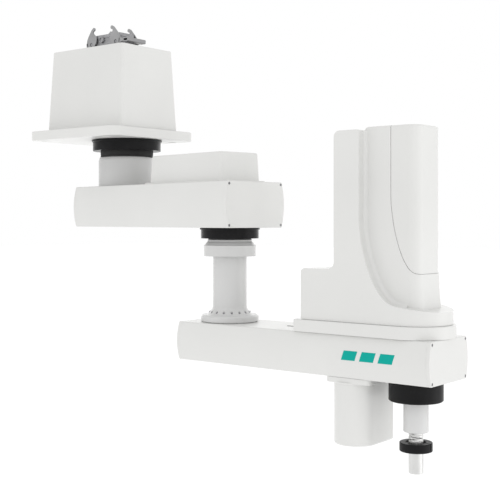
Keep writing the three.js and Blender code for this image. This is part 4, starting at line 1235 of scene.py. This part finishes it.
def finish_inside():
    """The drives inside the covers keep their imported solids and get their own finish."""
    for material, names in INSIDE:
        for name in names:
            slots = frame["nodes"][name].data.materials
            slots.clear()
            slots.append(material)


# ---------------------------------------------------------------------- studio
CAMERA_AT = (1.1615, -1.1454, -0.1434)
CAMERA = {"turn": 38.42, "lens": 72.36, "sensor": 36.0, "shift": -0.0596}
FLOOR_Z = -1.15


def make_world():
    """An even white surround, which gives most of the light."""
    world = bpy.data.worlds.new("surround")
    bpy.context.scene.world = world
    world.use_nodes = True
    backdrop = world.node_tree.nodes["Background"]
    backdrop.inputs["Color"].default_value = (1, 1, 1, 1)
    backdrop.inputs["Strength"].default_value = 1.0


def make_floor():
    """A plain pale floor well below the arm."""
    mesh = bpy.data.meshes.new("floor")
    half = 30.0
    corners = [(x * half, y * half, FLOOR_Z) for x, y in ((-1, -1), (1, -1), (1, 1), (-1, 1))]
    mesh.from_pydata(corners, [], [(0, 1, 2, 3)])
    floor = bpy.data.objects.new("floor", mesh)
    bpy.context.scene.collection.objects.link(floor)
    material = bpy.data.materials.new("pale_floor")
    material.use_nodes = True
    shader = material.node_tree.nodes["Principled BSDF"]
    shader.inputs["Base Color"].default_value = (0.9, 0.9, 0.9, 1)
    shader.inputs["Roughness"].default_value = 0.9
    shader.inputs["Emission Color"].default_value = (1, 1, 1, 1)
    shader.inputs["Emission Strength"].default_value = 0.16
    mesh.materials.append(material)


def softbox(name, at, aim, width, height, power):
    """A large plain area light turned toward a point."""
    data = bpy.data.lights.new(name, "AREA")
    data.shape = "RECTANGLE"
    data.size, data.size_y = width, height
    data.energy = power
    light = bpy.data.objects.new(name, data)
    light.location = at
    light.rotation_euler = (Vector(aim) - Vector(at)).to_track_quat("-Z", "Y").to_euler()
    bpy.context.scene.collection.objects.link(light)


def make_lights():
    middle = (0.25, 0.0, -0.15)
    softbox("front_box", (2.6, 0.9, -0.6), middle, 1.6, 1.6, 7.0)
    softbox("left_strip", (-1.6, -1.9, -0.1), middle, 0.3, 2.2, 1.0)
    softbox("right_strip", (2.5, -0.5, -0.1), middle, 0.3, 2.2, 1.6)
    softbox("key_box", (1.9, -1.9, 0.5), middle, 0.6, 0.6, 1.2)
    softbox("back_box", (-1.3, 1.96, 0.2), middle, 4.0, 1.6, 14.0)


def make_camera():
    data = bpy.data.cameras.new("camera")
    data.lens = CAMERA["lens"]
    data.sensor_width = CAMERA["sensor"]
    data.shift_y = CAMERA["shift"]
    data.clip_end = 100
    camera = bpy.data.objects.new("camera", data)
    camera.location = CAMERA_AT
    camera.rotation_euler = (math.radians(90), 0, math.radians(CAMERA["turn"]))
    bpy.context.scene.collection.objects.link(camera)
    bpy.context.scene.camera = camera


bpy.context.scene.view_settings.view_transform = "Standard"
make_camera()
make_world()
make_floor()
make_lights()
make_base()
make_joint_1()
make_arm_1()
make_joint_2()
make_arm_2()
make_tower()
make_shaft_end()
finish_inside()
